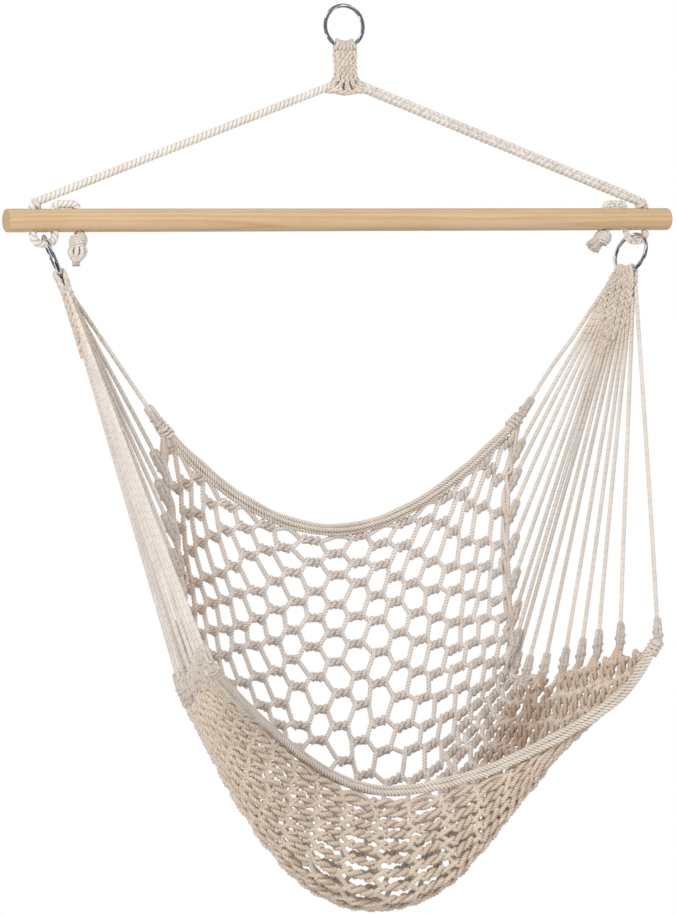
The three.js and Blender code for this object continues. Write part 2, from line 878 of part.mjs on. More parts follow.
function hangerPieces() {
  const group = new THREE.Group();
  const route = ropeRoute();
  const leftStart = route.start.clone().setX(-route.start.x);
  group.add(piece("neck_band", neckBand(leftStart, route.slope), cottonDark));
  const right = piece("suspension_rope_right", suspensionRope(route, wideRope), cotton);
  const left = piece("suspension_rope_left", suspensionRope(route, ropeDiameter), cotton);
  left.rotation.z = Math.PI;
  group.add(left, right);
  const bar = piece("spreader_bar", spreaderBar(), pine);
  bar.position.z = barZ;
  group.add(bar);
  for (const side of [-1, 1]) {
    const name = side < 0 ? "stopper_knot_left" : "stopper_knot_right";
    const lean = side < 0 ? 0 : rightKnotLean;
    const drop = gap + knotTopShare * knotRadius * Math.sin(lean);
    const knot = piece(name, stopperKnot(), cotton);
    knot.position.set(side * innerHole, 0, barZ - barDiameter / 2 - drop);
    knot.rotation.y = lean;
    group.add(knot);
  }
  return group;
}

function slingPieces() {
  const group = new THREE.Group();
  const knotEnds = [];
  for (const side of [-1, 1]) {
    const name = side < 0 ? "left" : "right";
    const frame = ringFrame(side);
    frame.add(piece(`sling_ring_${name}`, ringGeometry(), chrome));
    const cords = fanCords(side, frame);
    frame.add(piece(`clew_weave_${name}`, clewWeave(cords), cottonDark));
    cords.forEach((cord, i) => {
      const number = String(i + 1).padStart(2, "0");
      frame.add(clewCordPiece(`clew_cord_${name}_${number}`, cord));
    });
    group.add(frame);
    knotEnds.push(
      cords.map((cord) => ({
        end: frame.localToWorld(cord.end.clone()),
        direction: cord.direction.clone().applyQuaternion(frame.quaternion),
      })),
    );
  }
  const backCorners = knotEnds.map((ends) => ends[0].direction);
  const frontCorners = knotEnds.map((ends) => ends[clewCordCount - 1].direction);
  group.add(piece("back_rim", rim(0, backRimDiameter, backCorners), cottonDark));
  group.add(piece("front_rim", rim(1, frontRimDiameter, frontCorners), cottonDark));
  group.add(...netPanels(knotEnds));
  return group;
}

const chair = new THREE.Group();
chair.add(topRing(), ringHitch(), hangerPieces(), slingPieces());

export default chair;
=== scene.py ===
import bpy
from math import asin, atan2, copysign, cos, exp, hypot, pi, radians, sin, sqrt
import numpy as np
from mathutils import Matrix, Vector


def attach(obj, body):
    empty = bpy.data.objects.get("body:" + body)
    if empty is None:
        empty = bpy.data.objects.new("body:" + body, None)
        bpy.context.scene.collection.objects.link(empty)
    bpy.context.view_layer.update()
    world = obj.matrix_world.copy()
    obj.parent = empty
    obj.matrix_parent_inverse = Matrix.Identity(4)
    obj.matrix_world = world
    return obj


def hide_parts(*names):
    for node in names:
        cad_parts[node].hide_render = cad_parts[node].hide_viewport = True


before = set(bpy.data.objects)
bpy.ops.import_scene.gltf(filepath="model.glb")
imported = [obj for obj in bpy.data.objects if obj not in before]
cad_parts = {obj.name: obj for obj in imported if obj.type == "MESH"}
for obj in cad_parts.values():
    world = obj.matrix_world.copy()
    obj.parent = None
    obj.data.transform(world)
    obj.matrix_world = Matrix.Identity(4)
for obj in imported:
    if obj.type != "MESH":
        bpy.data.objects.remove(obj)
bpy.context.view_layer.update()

SIDES = ((-1, "left"), (1, "right"))
X, Y, Z = np.eye(3)

# Sizes in millimetres, as in the CAD source. The rings and the bar
RING_OUTER, RING_WIRE = 50.0, 4.5
WIRE_R = RING_WIRE / 2
RING_R = RING_OUTER / 2 - WIRE_R
RING_Z = WIRE_R - RING_R
RING_LEAN, RING_FORWARD, RING_TWIST = radians(21), radians(5), radians(18)
BAR_Z = RING_Z - 212.0
BAR_LEN, BAR_DIA, BAR_WORN = 800.0, 25.0, 2.2
HOLE_DIA, OUTER_HOLE, MIDDLE_HOLE, INNER_HOLE = 12.0, 370.0, 345.5, 319.0
GAP = 0.35
# The ropes, their lacing through the bar, and the shoulders of the neck they come from
ROPE_R = 4.5
LACING_DROP, LACING_BEND, CROWN_BEND = 24.5, 9.0, 6.5
SHOULDER_BEND, SHOULDER_RISE, SHOULDER_WIDTH, SHOULDER_DROP = 7.0, 13.0, 36.0, 35.0
# The cords' bights round the rings' wire, and the clews
BIGHT_CORD, BIGHT_HALF = 5.1, radians(32)
BORE_R = WIRE_R + GAP
BIGHT_R = BORE_R + BIGHT_CORD
CLEW_REACH, CLEW_MIDDLE, ROOT_SPREAD, FAN = 92.0, 112.0, 0.8, 16
# The net, its rims, and its side edge, middle line and fullness from the back to the front
HALF_WIDTH, REACH, DROP, TURN = 281.0, 161.0, 755.0, radians(6)
BACK_RIM, FRONT_RIM = 12.0, 15.0
EDGE = (
    (0.822, -0.147, 0.291), (0.79, -0.205, 0.377), (0.762, -0.182, 0.464), (0.751, -0.147, 0.55),
    (0.747, -0.121, 0.623), (0.758, -0.155, 0.675), (0.79, 0.018, 0.678), (0.829, 0.268, 0.668),
    (0.868, 0.469, 0.649), (0.915, 0.67, 0.633), (1, 1, 0.623))
MIDDLE = (
    (-0.291, 0.45), (-0.336, 0.493), (-0.356, 0.54), (-0.357, 0.623), (-0.336, 0.722),
    (-0.257, 0.848), (-0.075, 0.943), (0.182, 1), (0.414, 0.983), (0.401, 0.914), (0.254, 0.828))
FULL = (1.9, 1.9, 1.9, 1.9, 1.9, 2, 2.1, 2.2, 2.2, 2, 1.8)


def link(name, data):
    obj = bpy.data.objects.new(name, data)
    bpy.context.scene.collection.objects.link(obj)
    return obj


# ---- camera

YAW, ROLL = radians(25), radians(1.78)
DISTANCE, ASIDE, LEVEL = 4.2, -0.0212, -0.4923
LENS, SENSOR = 150.9, 36


def camera():
    right = Vector((cos(YAW), -sin(YAW), 0))
    back = Vector((-sin(YAW), -cos(YAW), 0))
    plumb = Vector((0, 0, 1))
    up, across = plumb * cos(ROLL) + right * sin(ROLL), right * cos(ROLL) - plumb * sin(ROLL)
    data = bpy.data.cameras.new("camera")
    data.sensor_fit, data.sensor_height, data.lens = "VERTICAL", SENSOR, LENS
    cam = link("camera", data)
    spot = back * DISTANCE + right * ASIDE + plumb * LEVEL
    cam.matrix_world = Matrix.Translation(spot) @ Matrix((across, up, back)).transposed().to_4x4()
    return cam


bpy.context.scene.camera = camera()

# ---- routes

# Points of a cord are this far apart, or a little less where it bends more
STEP, FINE = 1.3, 1.2


def run(points):
    """The length along the points, at each of them."""
    apart = np.linalg.norm(np.diff(points, axis=0, prepend=points[:1]), axis=-1)
    return np.cumsum(apart, axis=0)


def even(points, step):
    """The same route, with its points a step apart."""
    points = np.asarray(points, float)
    s = run(points)
    keep = np.diff(s, prepend=-1) > 1e-9
    t = np.linspace(0, s[-1], max(2, int(round(s[-1] / step)) + 1))
    return np.stack([np.interp(t, s[keep], values) for values in points[keep].T], 1)


def extended(points):
    """The points and one more at each end, for a smooth curve through them all."""
    return np.vstack([2 * points[0] - points[1], points, 2 * points[-1] - points[-2]])


def smooth(a, b, c, d, f):
    """A share f of the way from b to c, on the smooth curve through a, b, c and d."""
    return 0.5 * (2 * b + (c - a) * f + (2 * a - 5 * b + 4 * c - d) * f ** 2
                  + (3 * b - a - 3 * c + d) * f ** 3)


def through(control, step):
    """Points on a smooth curve through the given ones, a step apart."""
    p = extended(np.asarray(control, float))
    out = []
    for a, b, c, d in zip(p, p[1:], p[2:], p[3:]):
        n = max(2, int(np.linalg.norm(c - b) / step * 2))
        out.append(smooth(a, b, c, d, np.linspace(0, 1, n, endpoint=False)[:, None]))
    out.append(p[-2][None])
    return even(np.vstack(out), step)


def unit(v):
    return v / np.linalg.norm(v)


def units(v):
    return v / np.linalg.norm(v, axis=-1)[..., None]


def frames(points, first):
    """Two normals that turn as little as possible along the way."""
    t = units(np.gradient(points, axis=0))
    n = np.zeros_like(t)
    ref = X if abs(first @ t[0]) > 0.9 else first
    v = ref - (ref @ t[0]) * t[0]
    for i in range(len(t)):
        v = n[i] = unit(v - (v @ t[i]) * t[i])
    return n, np.cross(t, n)


def about_y(angle):
    c, s = cos(angle), sin(angle)
    return np.array(((c, 0, s), (0, 1, 0), (-s, 0, c)))


def over(q, along, aside):
    """A point at angle q of the circle whose axes are given."""
    return np.cos(q) * along + np.sin(q) * aside


# ---- meshes

# A cord's cut ends, and the length of cord to one unit of its texture
TIP_GROOVE, TIP_TONE, TEXTURE = 0.6, 0.1, 10.0


def shade_smooth(mesh):
    mesh.polygons.foreach_set("use_smooth", np.ones(len(mesh.polygons), bool))


def mesh_object(name, verts, faces, material=None):
    mesh = bpy.data.meshes.new(name)
    mesh.from_pydata(verts, [], faces)
    shade_smooth(mesh)
    mesh.update()
    if material:
        mesh.materials.append(material)
    return link(name, mesh)


def skin(first, rows, sides, closed=False):
    """Faces between rows of points. Each row closes on itself, and so do the rows if asked."""
    faces = []
    for i in range(rows if closed else rows - 1):
        a, b = first + i * sides, first + (i + 1) % rows * sides
        faces += [(a + k, b + k, b + (k + 1) % sides, a + (k + 1) % sides) for k in range(sides)]
    return faces


class Build:
    """Collects swept cords into one mesh, with a groove and a tone value at each point."""

    def __init__(self):
        self.v, self.quads, self.tris, self.groove, self.tone, self.uv = [], [], [], [], [], []
        self.count = 0

    def cord(self, p, radius, lobes=3, depth=0.14, pitch=12.0, sides=6, phase=0.0, tone=0.0,
             first=Y):
        """Sweeps a lobed section along the points, turning it once in each pitch."""
        m = len(p)
        n, b = frames(p, first)
        s = run(p)
        theta = np.arange(sides) * 2 * pi / sides
        crest = np.abs(np.cos(lobes * theta / 2)) if lobes else np.ones(sides)
        ang = theta + (2 * pi * s / pitch + phase)[:, None]
        r = (radius * np.ones(m))[:, None] * (1 - depth * (1 - crest))
        x, y = r * np.cos(ang), r * np.sin(ang)
        verts = p[:, None] + x[..., None] * n[:, None] + y[..., None] * b[:, None]
        k = np.arange(sides)
        k2 = (k + 1) % sides
        i = np.arange(m - 1)[:, None] * sides + self.count
        quads = np.stack([i + k, i + k2, i + sides + k2, i + sides + k], -1)
        self.quads.append(quads.reshape(-1, 4))
        last = self.count + (m - 1) * sides
        tip = last + sides + 0 * k
        self.tris.append(np.stack([self.count + k2, self.count + k, tip], -1))
        self.tris.append(np.stack([last + k, last + k2, tip + 1], -1))
        self.v += [verts.reshape(-1, 3), p[[0, -1]]]
        self.groove += [np.tile(crest, m), np.full(2, TIP_GROOVE)]
        tones = tone * np.ones(m)
        self.tone += [np.repeat(tones, sides), tones[[0, -1]] + TIP_TONE]
        lay = s / TEXTURE
        self.uv.append(np.stack([np.repeat(lay, sides), np.tile(theta / (2 * pi), m)], 1))
        self.uv.append(np.array([[0, 0], [lay[-1], 0]]))
        self.count += m * sides + 2

    def make(self, name, material):
        quads, tris = np.vstack(self.quads), np.vstack(self.tris)
        corners = np.append(quads, tris).astype(np.int32)
        starts = np.append(np.arange(len(quads)) * 4, quads.size + np.arange(len(tris)) * 3)
        mesh = bpy.data.meshes.new(name)
        mesh.vertices.add(self.count)
        mesh.vertices.foreach_set("co", (np.vstack(self.v) / 1000).astype(np.float32).ravel())
        mesh.loops.add(len(corners))
        mesh.loops.foreach_set("vertex_index", corners)
        mesh.polygons.add(len(starts))
        mesh.polygons.foreach_set("loop_start", starts.astype(np.int32))
        mesh.update(calc_edges=True)
        shade_smooth(mesh)
        for key, values in (("groove", self.groove), ("tone", self.tone)):
            layer = mesh.attributes.new(key, "FLOAT", "POINT")
            layer.data.foreach_set("value", np.concatenate(values).astype(np.float32))
        layer = mesh.uv_layers.new(name="lay")
        layer.data.foreach_set("uv", np.vstack(self.uv)[corners].astype(np.float32).ravel())
        mesh.materials.append(material)
        return link(name, mesh)


def ride(obj, body, slot, *nodes):
    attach(obj, body)
    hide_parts(*nodes)


def plait(build, spine, strands, half_width, half_depth, radius, pitch, normal, step, depth,
          tone=0.0, phase=0.0, scale=None, thin=False, lay=9.0, sides=7):
    """A flat plait along a spine: each strand crosses from side to side, over and under."""
    p = even(spine, step)
    n, b = frames(p, normal)
    s = run(p)
    k = np.ones(len(p)) if scale is None else np.interp(s / s[-1], *scale)
    for i in range(strands):
        a = 2 * pi * (s / pitch + i / strands) + phase
        x = half_width * k * np.sin(a)
        y = half_depth * np.sin((strands - 1) * a)
        path = p + x[:, None] * b + y[:, None] * n
        # Painted shade: a strand goes darker toward the plait's middle, where it passes between the
        # others.
        low = 1 - np.abs(y) / half_depth
        build.cord(path, radius * (k if thin else 1), pitch=lay * (1 if i % 2 else -1), sides=sides,
                   phase=i * 1.7, tone=tone + 0.12 * low, depth=depth, first=normal)


# ---- materials

WHITE = (1, 1, 1)


class Tree:
    """A node tree, with the kinds of node that the materials share."""

    def __init__(self, owner):
        owner.use_nodes = True
        self.nodes, self.links = owner.node_tree.nodes, owner.node_tree.links

    def feed(self, node, inputs):
        """Sets a node's inputs to numbers and colours, or links them to other nodes."""
        for key, value in inputs.items():
            socket = node.inputs[key]
            if isinstance(value, bpy.types.NodeSocket):
                self.links.new(value, socket)
            else:
                socket.default_value = (*value, 1) if socket.type == "RGBA" else value

    def node(self, kind, inputs=None, **settings):
        node = self.nodes.new("ShaderNode" + kind)
        for key, value in settings.items():
            setattr(node, key, value)
        self.feed(node, inputs or {})
        return node

    def calc(self, operation, *values):
        return self.node("Math", dict(enumerate(values)), operation=operation).outputs[0]

    def mix(self, factor, a, b, mode="MIX"):
        node = self.node("Mix", {0: factor, 6: a, 7: b}, data_type="RGBA", blend_type=mode)
        return node.outputs[2]

    def ramp(self, factor, *stops):
        node = self.node("ValToRGB", {"Fac": factor})
        elements = node.color_ramp.elements
        elements[0].position, elements[1].position = stops[0][0], stops[-1][0]
        for position, _ in stops[1:-1]:
            elements.new(position)
        for element, (_, colour) in zip(elements, stops):
            element.color = (*colour, 1)
        return node.outputs["Color"]

    def noise(self, vector, scale, detail=3.0, rough=0.55):
        return self.node("TexNoise", {"Vector": vector, "Scale": scale, "Detail": detail,
                                      "Roughness": rough}).outputs["Fac"]

    def mapping(self, vector, scale):
        return self.node("Mapping", {"Vector": vector, "Scale": scale}).outputs["Vector"]

    def remap(self, value, from_min, from_max, to_min, to_max):
        limits = enumerate((value, from_min, from_max, to_min, to_max))
        return self.node("MapRange", dict(limits)).outputs["Result"]

    def bump(self, height, strength, distance):
        return self.node("Bump", {"Height": height, "Strength": strength,
                                  "Distance": distance}).outputs["Normal"]

    def seen(self):
        """One where the camera, a mirror or glass looks, and nought for all other light."""
        rays = self.node("LightPath").outputs
        first = self.calc("MAXIMUM", rays["Is Camera Ray"], rays["Is Glossy Ray"])
        return self.calc("MAXIMUM", first, rays["Is Transmission Ray"])


def new_material(name):
    mat = bpy.data.materials.new(name)
    tree = Tree(mat)
    return mat, tree, tree.nodes["Principled BSDF"]


def linear(r, g, b):
    return tuple((c / 255 / 12.92) if c / 255 < 0.04045 else ((c / 255 + 0.055) / 1.055) ** 2.4
                 for c in (r, g, b))


def cotton(name, light, dark, wear_and_shade_colour, groove_shade_strength, warm=0.0):
    """Cotton cord: patches of light and dark, brown where the tone attribute is high, for wear and
    for painted shade between cords, and painted shade in the lay's grooves.
    """
    mat, tree, bsdf = new_material(name)
    coords = tree.node("TexCoord").outputs
    groove, tone = (tree.node("Attribute", attribute_name=key).outputs["Fac"]
                    for key in ("groove", "tone"))
    patches = tree.noise(coords["Object"], 34.0, 4.0)
    base = tree.ramp(patches, (0.32, linear(*dark)), (0.68, linear(*light)))
    # The tone attribute carries both wear and painted shade between and under cords.
    base = tree.mix(tone, base, linear(*wear_and_shade_colour))
    # Painted shade in the lay's grooves: darker where the cord's section dips between its lobes.
    groove_shade = tree.ramp(groove, (0.0, (0.42, 0.33, 0.25)), (0.45, (0.86, 0.82, 0.77)), (0.8, WHITE))
    base = tree.mix(groove_shade_strength, base, groove_shade, "MULTIPLY")
    if warm:
        # The seat and the front have yellowed more than the back
        part = tree.node("SeparateXYZ", {0: coords["Object"]})
        used = tree.remap(part.outputs["Y"], 0.04, -0.07, 0, warm)
        base = tree.mix(used, base, (0.955, 0.87, 0.765), "MULTIPLY")
    fibres = tree.noise(tree.mapping(coords["UV"], (5.0, 22.0, 1.0)), 4.0, 5.0, 0.7)
    streak = tree.ramp(fibres, (0.3, (0.88, 0.86, 0.84)), (0.6, (1.02, 1.02, 1.01)))
    fuzz = tree.calc("MULTIPLY_ADD", fibres, 1.4, tree.noise(coords["Object"], 1500.0, 2.0))
    tree.feed(bsdf, {
        "Base Color": tree.mix(0.6, base, streak, "MULTIPLY"), "Roughness": 0.92,
        "Sheen Weight": 0.25, "Sheen Roughness": 0.5, "Specular IOR Level": 0.25,
        "Normal": tree.bump(fuzz, 0.45, 0.0005)})
    return mat


def pine():
    mat, tree, bsdf = new_material("pine")
    coords = tree.node("TexCoord").outputs["Object"]
    wander = tree.noise(tree.mapping(coords, (1.6, 22.0, 22.0)), 1.3, 3.0, 0.5)
    part = tree.node("SeparateXYZ", {0: coords}).outputs
    # Growth rings about a pith outside the dowel, wandering along its length
    calc = tree.calc
    dy, dz = calc("ADD", part["Y"], 0.028), calc("ADD", part["Z"], -BAR_Z / 1000 + 0.016)
    radius = calc("SQRT", calc("ADD", calc("MULTIPLY", dy, dy), calc("MULTIPLY", dz, dz)))
    moved = calc("ADD", radius, calc("MULTIPLY", wander, 0.017))
    rings = calc("FRACT", calc("MULTIPLY", moved, 210.0))
    early, late = linear(222, 196, 162), linear(203, 169, 128)
    grain = tree.ramp(rings, (0.0, late), (0.3, early), (0.7, linear(217, 189, 153)), (1.0, late))
    broad = tree.noise(tree.mapping(coords, (5.0, 50.0, 50.0)), 1.0, 3.0)
    tint = tree.ramp(broad, (0.35, (0.95, 0.9, 0.84)), (0.65, (1.03, 1.02, 1.0)))
    base = tree.mix(1.0, tree.mix(0.65, linear(216, 188, 152), grain), tint, "MULTIPLY")
    pores = tree.noise(tree.mapping(coords, (60.0, 2400.0, 2400.0)), 1.0, 3.0, 0.6)
    fleck = tree.ramp(pores, (0.28, (0.84, 0.77, 0.68)), (0.5, WHITE))
    base = tree.mix(0.55, base, fleck, "MULTIPLY")
    # The ends, where the grain is cut across, take up dirt and show greyer
    face = tree.ramp(calc("ABSOLUTE", part["X"]), (0.3988, (0, 0, 0)), (0.3998, WHITE))
    cut = tree.mix(1.0, base, linear(178, 178, 172), "MULTIPLY")
    tree.feed(bsdf, {"Base Color": tree.mix(face, base, cut), "Roughness": 0.52,
                     "Specular IOR Level": 0.4, "Normal": tree.bump(pores, 0.25, 0.0004)})
    return mat


def chrome():
    mat, tree, bsdf = new_material("chrome")
    coords = tree.node("TexCoord").outputs["Object"]
    wear = tree.noise(coords, 160.0, 4.0)
    tree.feed(bsdf, {
        "Base Color": tree.ramp(wear, (0.3, (0.84, 0.85, 0.88)), (0.7, (0.93, 0.94, 0.96))),
        "Metallic": 1.0, "Roughness": tree.remap(wear, 0, 1, 0.02, 0.07),
        "Normal": tree.bump(tree.noise(coords, 420.0, 2.0), 0.012, 0.0002)})
    return mat


BROWN, TAN = (146, 112, 86), (176, 131, 88)
cord_mat = cotton("cotton_cord", (243, 236, 230), (230, 221, 213), BROWN, 0.6)
net_mat = cotton("cotton_net", (251, 245, 241), (242, 234, 228), TAN, 0.55, 1.0)
rim_mat = cotton("cotton_rim", (252, 244, 235), (240, 229, 218), BROWN, 0.9)
weave_mat = cotton("cotton_weave", (246, 236, 226), (230, 217, 204), BROWN, 0.95)
rope_mat = cotton("cotton_rope", (249, 243, 237), (237, 229, 221), BROWN, 0.7)
chrome_mat = chrome()
pine_mat = pine()

# ---- steel rings

RING_SEGMENTS, WIRE_SIDES = 112, 20
# The butt weld shows as a slight swelling on one side
WELD_AT, WELD_WIDTH, WELD_SWELL = 0.5, 0.05, 0.05


def steel_ring(node, body, centre, x, z):
    a = np.linspace(0, 2 * pi, RING_SEGMENTS, endpoint=False)
    c = np.linspace(0, 2 * pi, WIRE_SIDES, endpoint=False)
    radial = np.cos(a)[:, None] * x + np.sin(a)[:, None] * z
    from_weld = np.minimum(np.abs(a - WELD_AT), 2 * pi - np.abs(a - WELD_AT))
    wire = WIRE_R * (1 + WELD_SWELL * np.exp(-(from_weld / WELD_WIDTH) ** 2))
    ring = centre + radial[:, None] * (RING_R + wire[:, None] * np.cos(c))[..., None]
    ring = ring + (wire[:, None] * np.sin(c))[..., None] * np.cross(z, x)
    obj = mesh_object(f"{node}_steel", (ring.reshape(-1, 3) / 1000).tolist(),
                      skin(0, RING_SEGMENTS, WIRE_SIDES, True), chrome_mat)
    ride(obj, body, "steel_ring", node)


def ring_frame(side):
    """A lower ring's centre and its axes: to the front, out of its plane and up."""
    pull = np.array((-side * sin(RING_LEAN), -sin(RING_FORWARD) * cos(RING_LEAN),
                     -cos(RING_FORWARD) * cos(RING_LEAN)))
    front = np.array((side * sin(RING_TWIST), -cos(RING_TWIST), 0))
    front = unit(front - (front @ pull) * pull)
    axis = unit(np.cross(front, pull))
    lift = (ROPE_R + GAP + WIRE_R) / hypot(pull[1], pull[2])
    top = np.array((side * (OUTER_HOLE + MIDDLE_HOLE) / 2, -pull[1] * lift,
                    BAR_Z - LACING_DROP - pull[2] * lift))
    return top + pull * RING_R, front, axis, -pull


steel_ring("hanging_ring", "top_ring", np.array((0, 0, RING_Z)), X, Z)
ring_frames = {side: ring_frame(side) for side, _ in SIDES}
for side, word in SIDES:
    centre, x, _, z = ring_frames[side]
    steel_ring(f"sling_ring_{word}", f"ring_{word}", centre, x, z)

# ---- bar

BAR_SIDES, HOLE_SIDES = 72, 40
# Heights and radii of a hole's upper mouth, and of the whole hole
MOUTH = ((20, 8.2), (12.6, 6.9), (11.2, HOLE_DIA / 2))
HOLE = MOUTH + tuple((-z, r) for z, r in reversed(MOUTH))


def circle(sides):
    return [(cos(2 * pi * k / sides), sin(2 * pi * k / sides)) for k in range(sides)]


def holes():
    """What the six holes take out of the bar."""
    verts, faces, ring = [], [], range(HOLE_SIDES)
    for side, _ in SIDES:
        for x in (OUTER_HOLE, MIDDLE_HOLE, INNER_HOLE):
            first = len(verts)
            verts += [((side * x + r * c) / 1000, r * s / 1000, (BAR_Z + z) / 1000)
                      for z, r in HOLE for c, s in circle(HOLE_SIDES)]
            faces.append(tuple(first + k for k in ring))
            faces += skin(first, len(HOLE), HOLE_SIDES)
            faces.append(tuple(len(verts) - HOLE_SIDES + k for k in reversed(ring)))
    return mesh_object("drill", verts, faces)


def dowel():
    """The bar: a solid turned about X and eased at its ends, with its holes bored."""
    half, radius, start, n = BAR_LEN / 2, BAR_DIA / 2, 24, BAR_SIDES
    ease = [radians(start + 11 * i) for i in range(7)]
    ease = [(half - BAR_WORN * (cos(radians(start)) - cos(a)),
             radius - BAR_WORN * (1 - sin(a))) for a in ease]
    inner = [(half * f, radius) for f in (0.9, 0.6, 0.3, 0, -0.3, -0.6, -0.9)]
    profile = ease + inner + [(-x, q) for x, q in reversed(ease)]
    verts = [(half, 0, 0)] + [(x, r * c, r * s) for x, r in profile for c, s in circle(n)]
    verts.append((-half, 0, 0))
    last = len(verts) - 1
    faces = [(0, 1 + k, 1 + (k + 1) % n) for k in range(n)] + skin(1, len(profile), n)
    faces += [(last, last - n + (k + 1) % n, last - n + k) for k in range(n)]
    verts = [(x / 1000, y / 1000, (z + BAR_Z) / 1000) for x, y, z in verts]
    bar, drill = mesh_object("spreader_bar_pine", verts, [f[::-1] for f in faces]), holes()
    mod = bar.modifiers.new("holes", "BOOLEAN")
    mod.operation, mod.solver, mod.object = "DIFFERENCE", "EXACT", drill
    bpy.context.view_layer.update()
    done = bpy.data.meshes.new_from_object(bar.evaluated_get(bpy.context.evaluated_depsgraph_get()))
    bar.modifiers.clear()
    bar.data = done
    bpy.data.objects.remove(drill)
    done.materials.clear()
    done.materials.append(pine_mat)
    shade_smooth(done)
    done.set_sharp_from_angle(angle=radians(20))
    return bar


ride(dowel(), "hanger", "bar_wood", "spreader_bar")

# ---- ropes and lacing

# How far each rope's end goes into the neck, unseen
NECK_OVERLAP = 4.0


def arc(x, z, r, a0, a1):
    return [(x + r * cos(q), 0.0, z + r * sin(q)) for q in np.linspace(a0, a1, 9)]


def lacing_route():
    """The right rope: from the neck down the outer hole, up the middle one and down the inner."""
    quarter = pi / 2
    bend_x, bend_z = OUTER_HOLE - SHOULDER_BEND, BAR_Z + SHOULDER_RISE
    neck_x = SHOULDER_WIDTH / 2
    neck_z = RING_Z - RING_R - BIGHT_R - SHOULDER_DROP
    dx, dz = bend_x - neck_x, neck_z - bend_z
    slope = atan2(dz, dx) - asin(SHOULDER_BEND / hypot(dx, dz))
    under = BAR_Z - LACING_DROP + LACING_BEND
    crown = BAR_Z + BAR_DIA / 2 + GAP + ROPE_R - CROWN_BEND
    points = [(neck_x, 0.0, neck_z)]
    points += arc(bend_x, bend_z, SHOULDER_BEND, quarter - slope, 0)
    points += arc(OUTER_HOLE - LACING_BEND, under, LACING_BEND, 0, -quarter)
    points += arc(MIDDLE_HOLE + LACING_BEND, under, LACING_BEND, -quarter, -pi)
    points += arc(MIDDLE_HOLE - CROWN_BEND, crown, CROWN_BEND, 0, quarter)
    points += arc(INNER_HOLE + CROWN_BEND, crown, CROWN_BEND, quarter, pi)
    points = np.array(points + [(INNER_HOLE, 0.0, BAR_Z - BAR_DIA / 2 + 2)])
    points[0] = points[0] + unit(points[0] - points[1]) * NECK_OVERLAP
    return points


def bend_lump(build, side):
    """A half hitch that has drawn up where the rope bends into the bar's outer hole."""
    centre = np.array((side * (OUTER_HOLE - 4.5), 0, BAR_Z + BAR_DIA / 2 + 4.6))
    axis = np.array((side * 0.75, 0, -0.66))
    q = np.linspace(0.3, 2 * pi * 1.35, 44)[:, None]
    ring = centre + 4.9 * np.cos(q) * np.cross(axis, Y) + 4.7 * np.sin(q) * Y
    ring = ring + np.linspace(-2.2, 2.2, 44)[:, None] * axis
    build.cord(even(ring, FINE), 2.6, pitch=11.0, depth=0.17, sides=9, tone=0.05)


route = lacing_route()
# The right rope's plait is drawn narrower from the bar on
straight = run(route)[1] / run(route)[-1]
for (side, word), kind in zip(SIDES, ("laid", "plaited")):
    rope = Build()
    if kind == "laid":
        rope.cord(even(route * (-1, 1, 1), STEP), ROPE_R * 1.02, depth=0.17, pitch=-16.5, sides=12)
    else:
        plait(rope, route, 4, 3.2, 1.8, 2.85, 25.0, Y, STEP, 0.07, lay=12.0, sides=9, thin=True,
              scale=([0, straight * 0.93, straight * 1.03, 1], [1, 1, 0.74, 0.74]))
    bend_lump(rope, side)
    name = f"suspension_rope_{word}"
    ride(rope.make(f"{name}_{kind}", rope_mat), "hanger", "rope", name)

# The two knots differ: how they lean, and where and how their cut ends stand out
KNOT_LEAN = {-1: radians(4), 1: radians(30)}
KNOT_ENDS = {-1: ((-1.0, 0, -30.0), 34, 3.7, 5.6, 0.0, 0.72),
             1: ((-4.0, 0, -17.0), 70, 6.2, 10.0, radians(22), 0.9)}


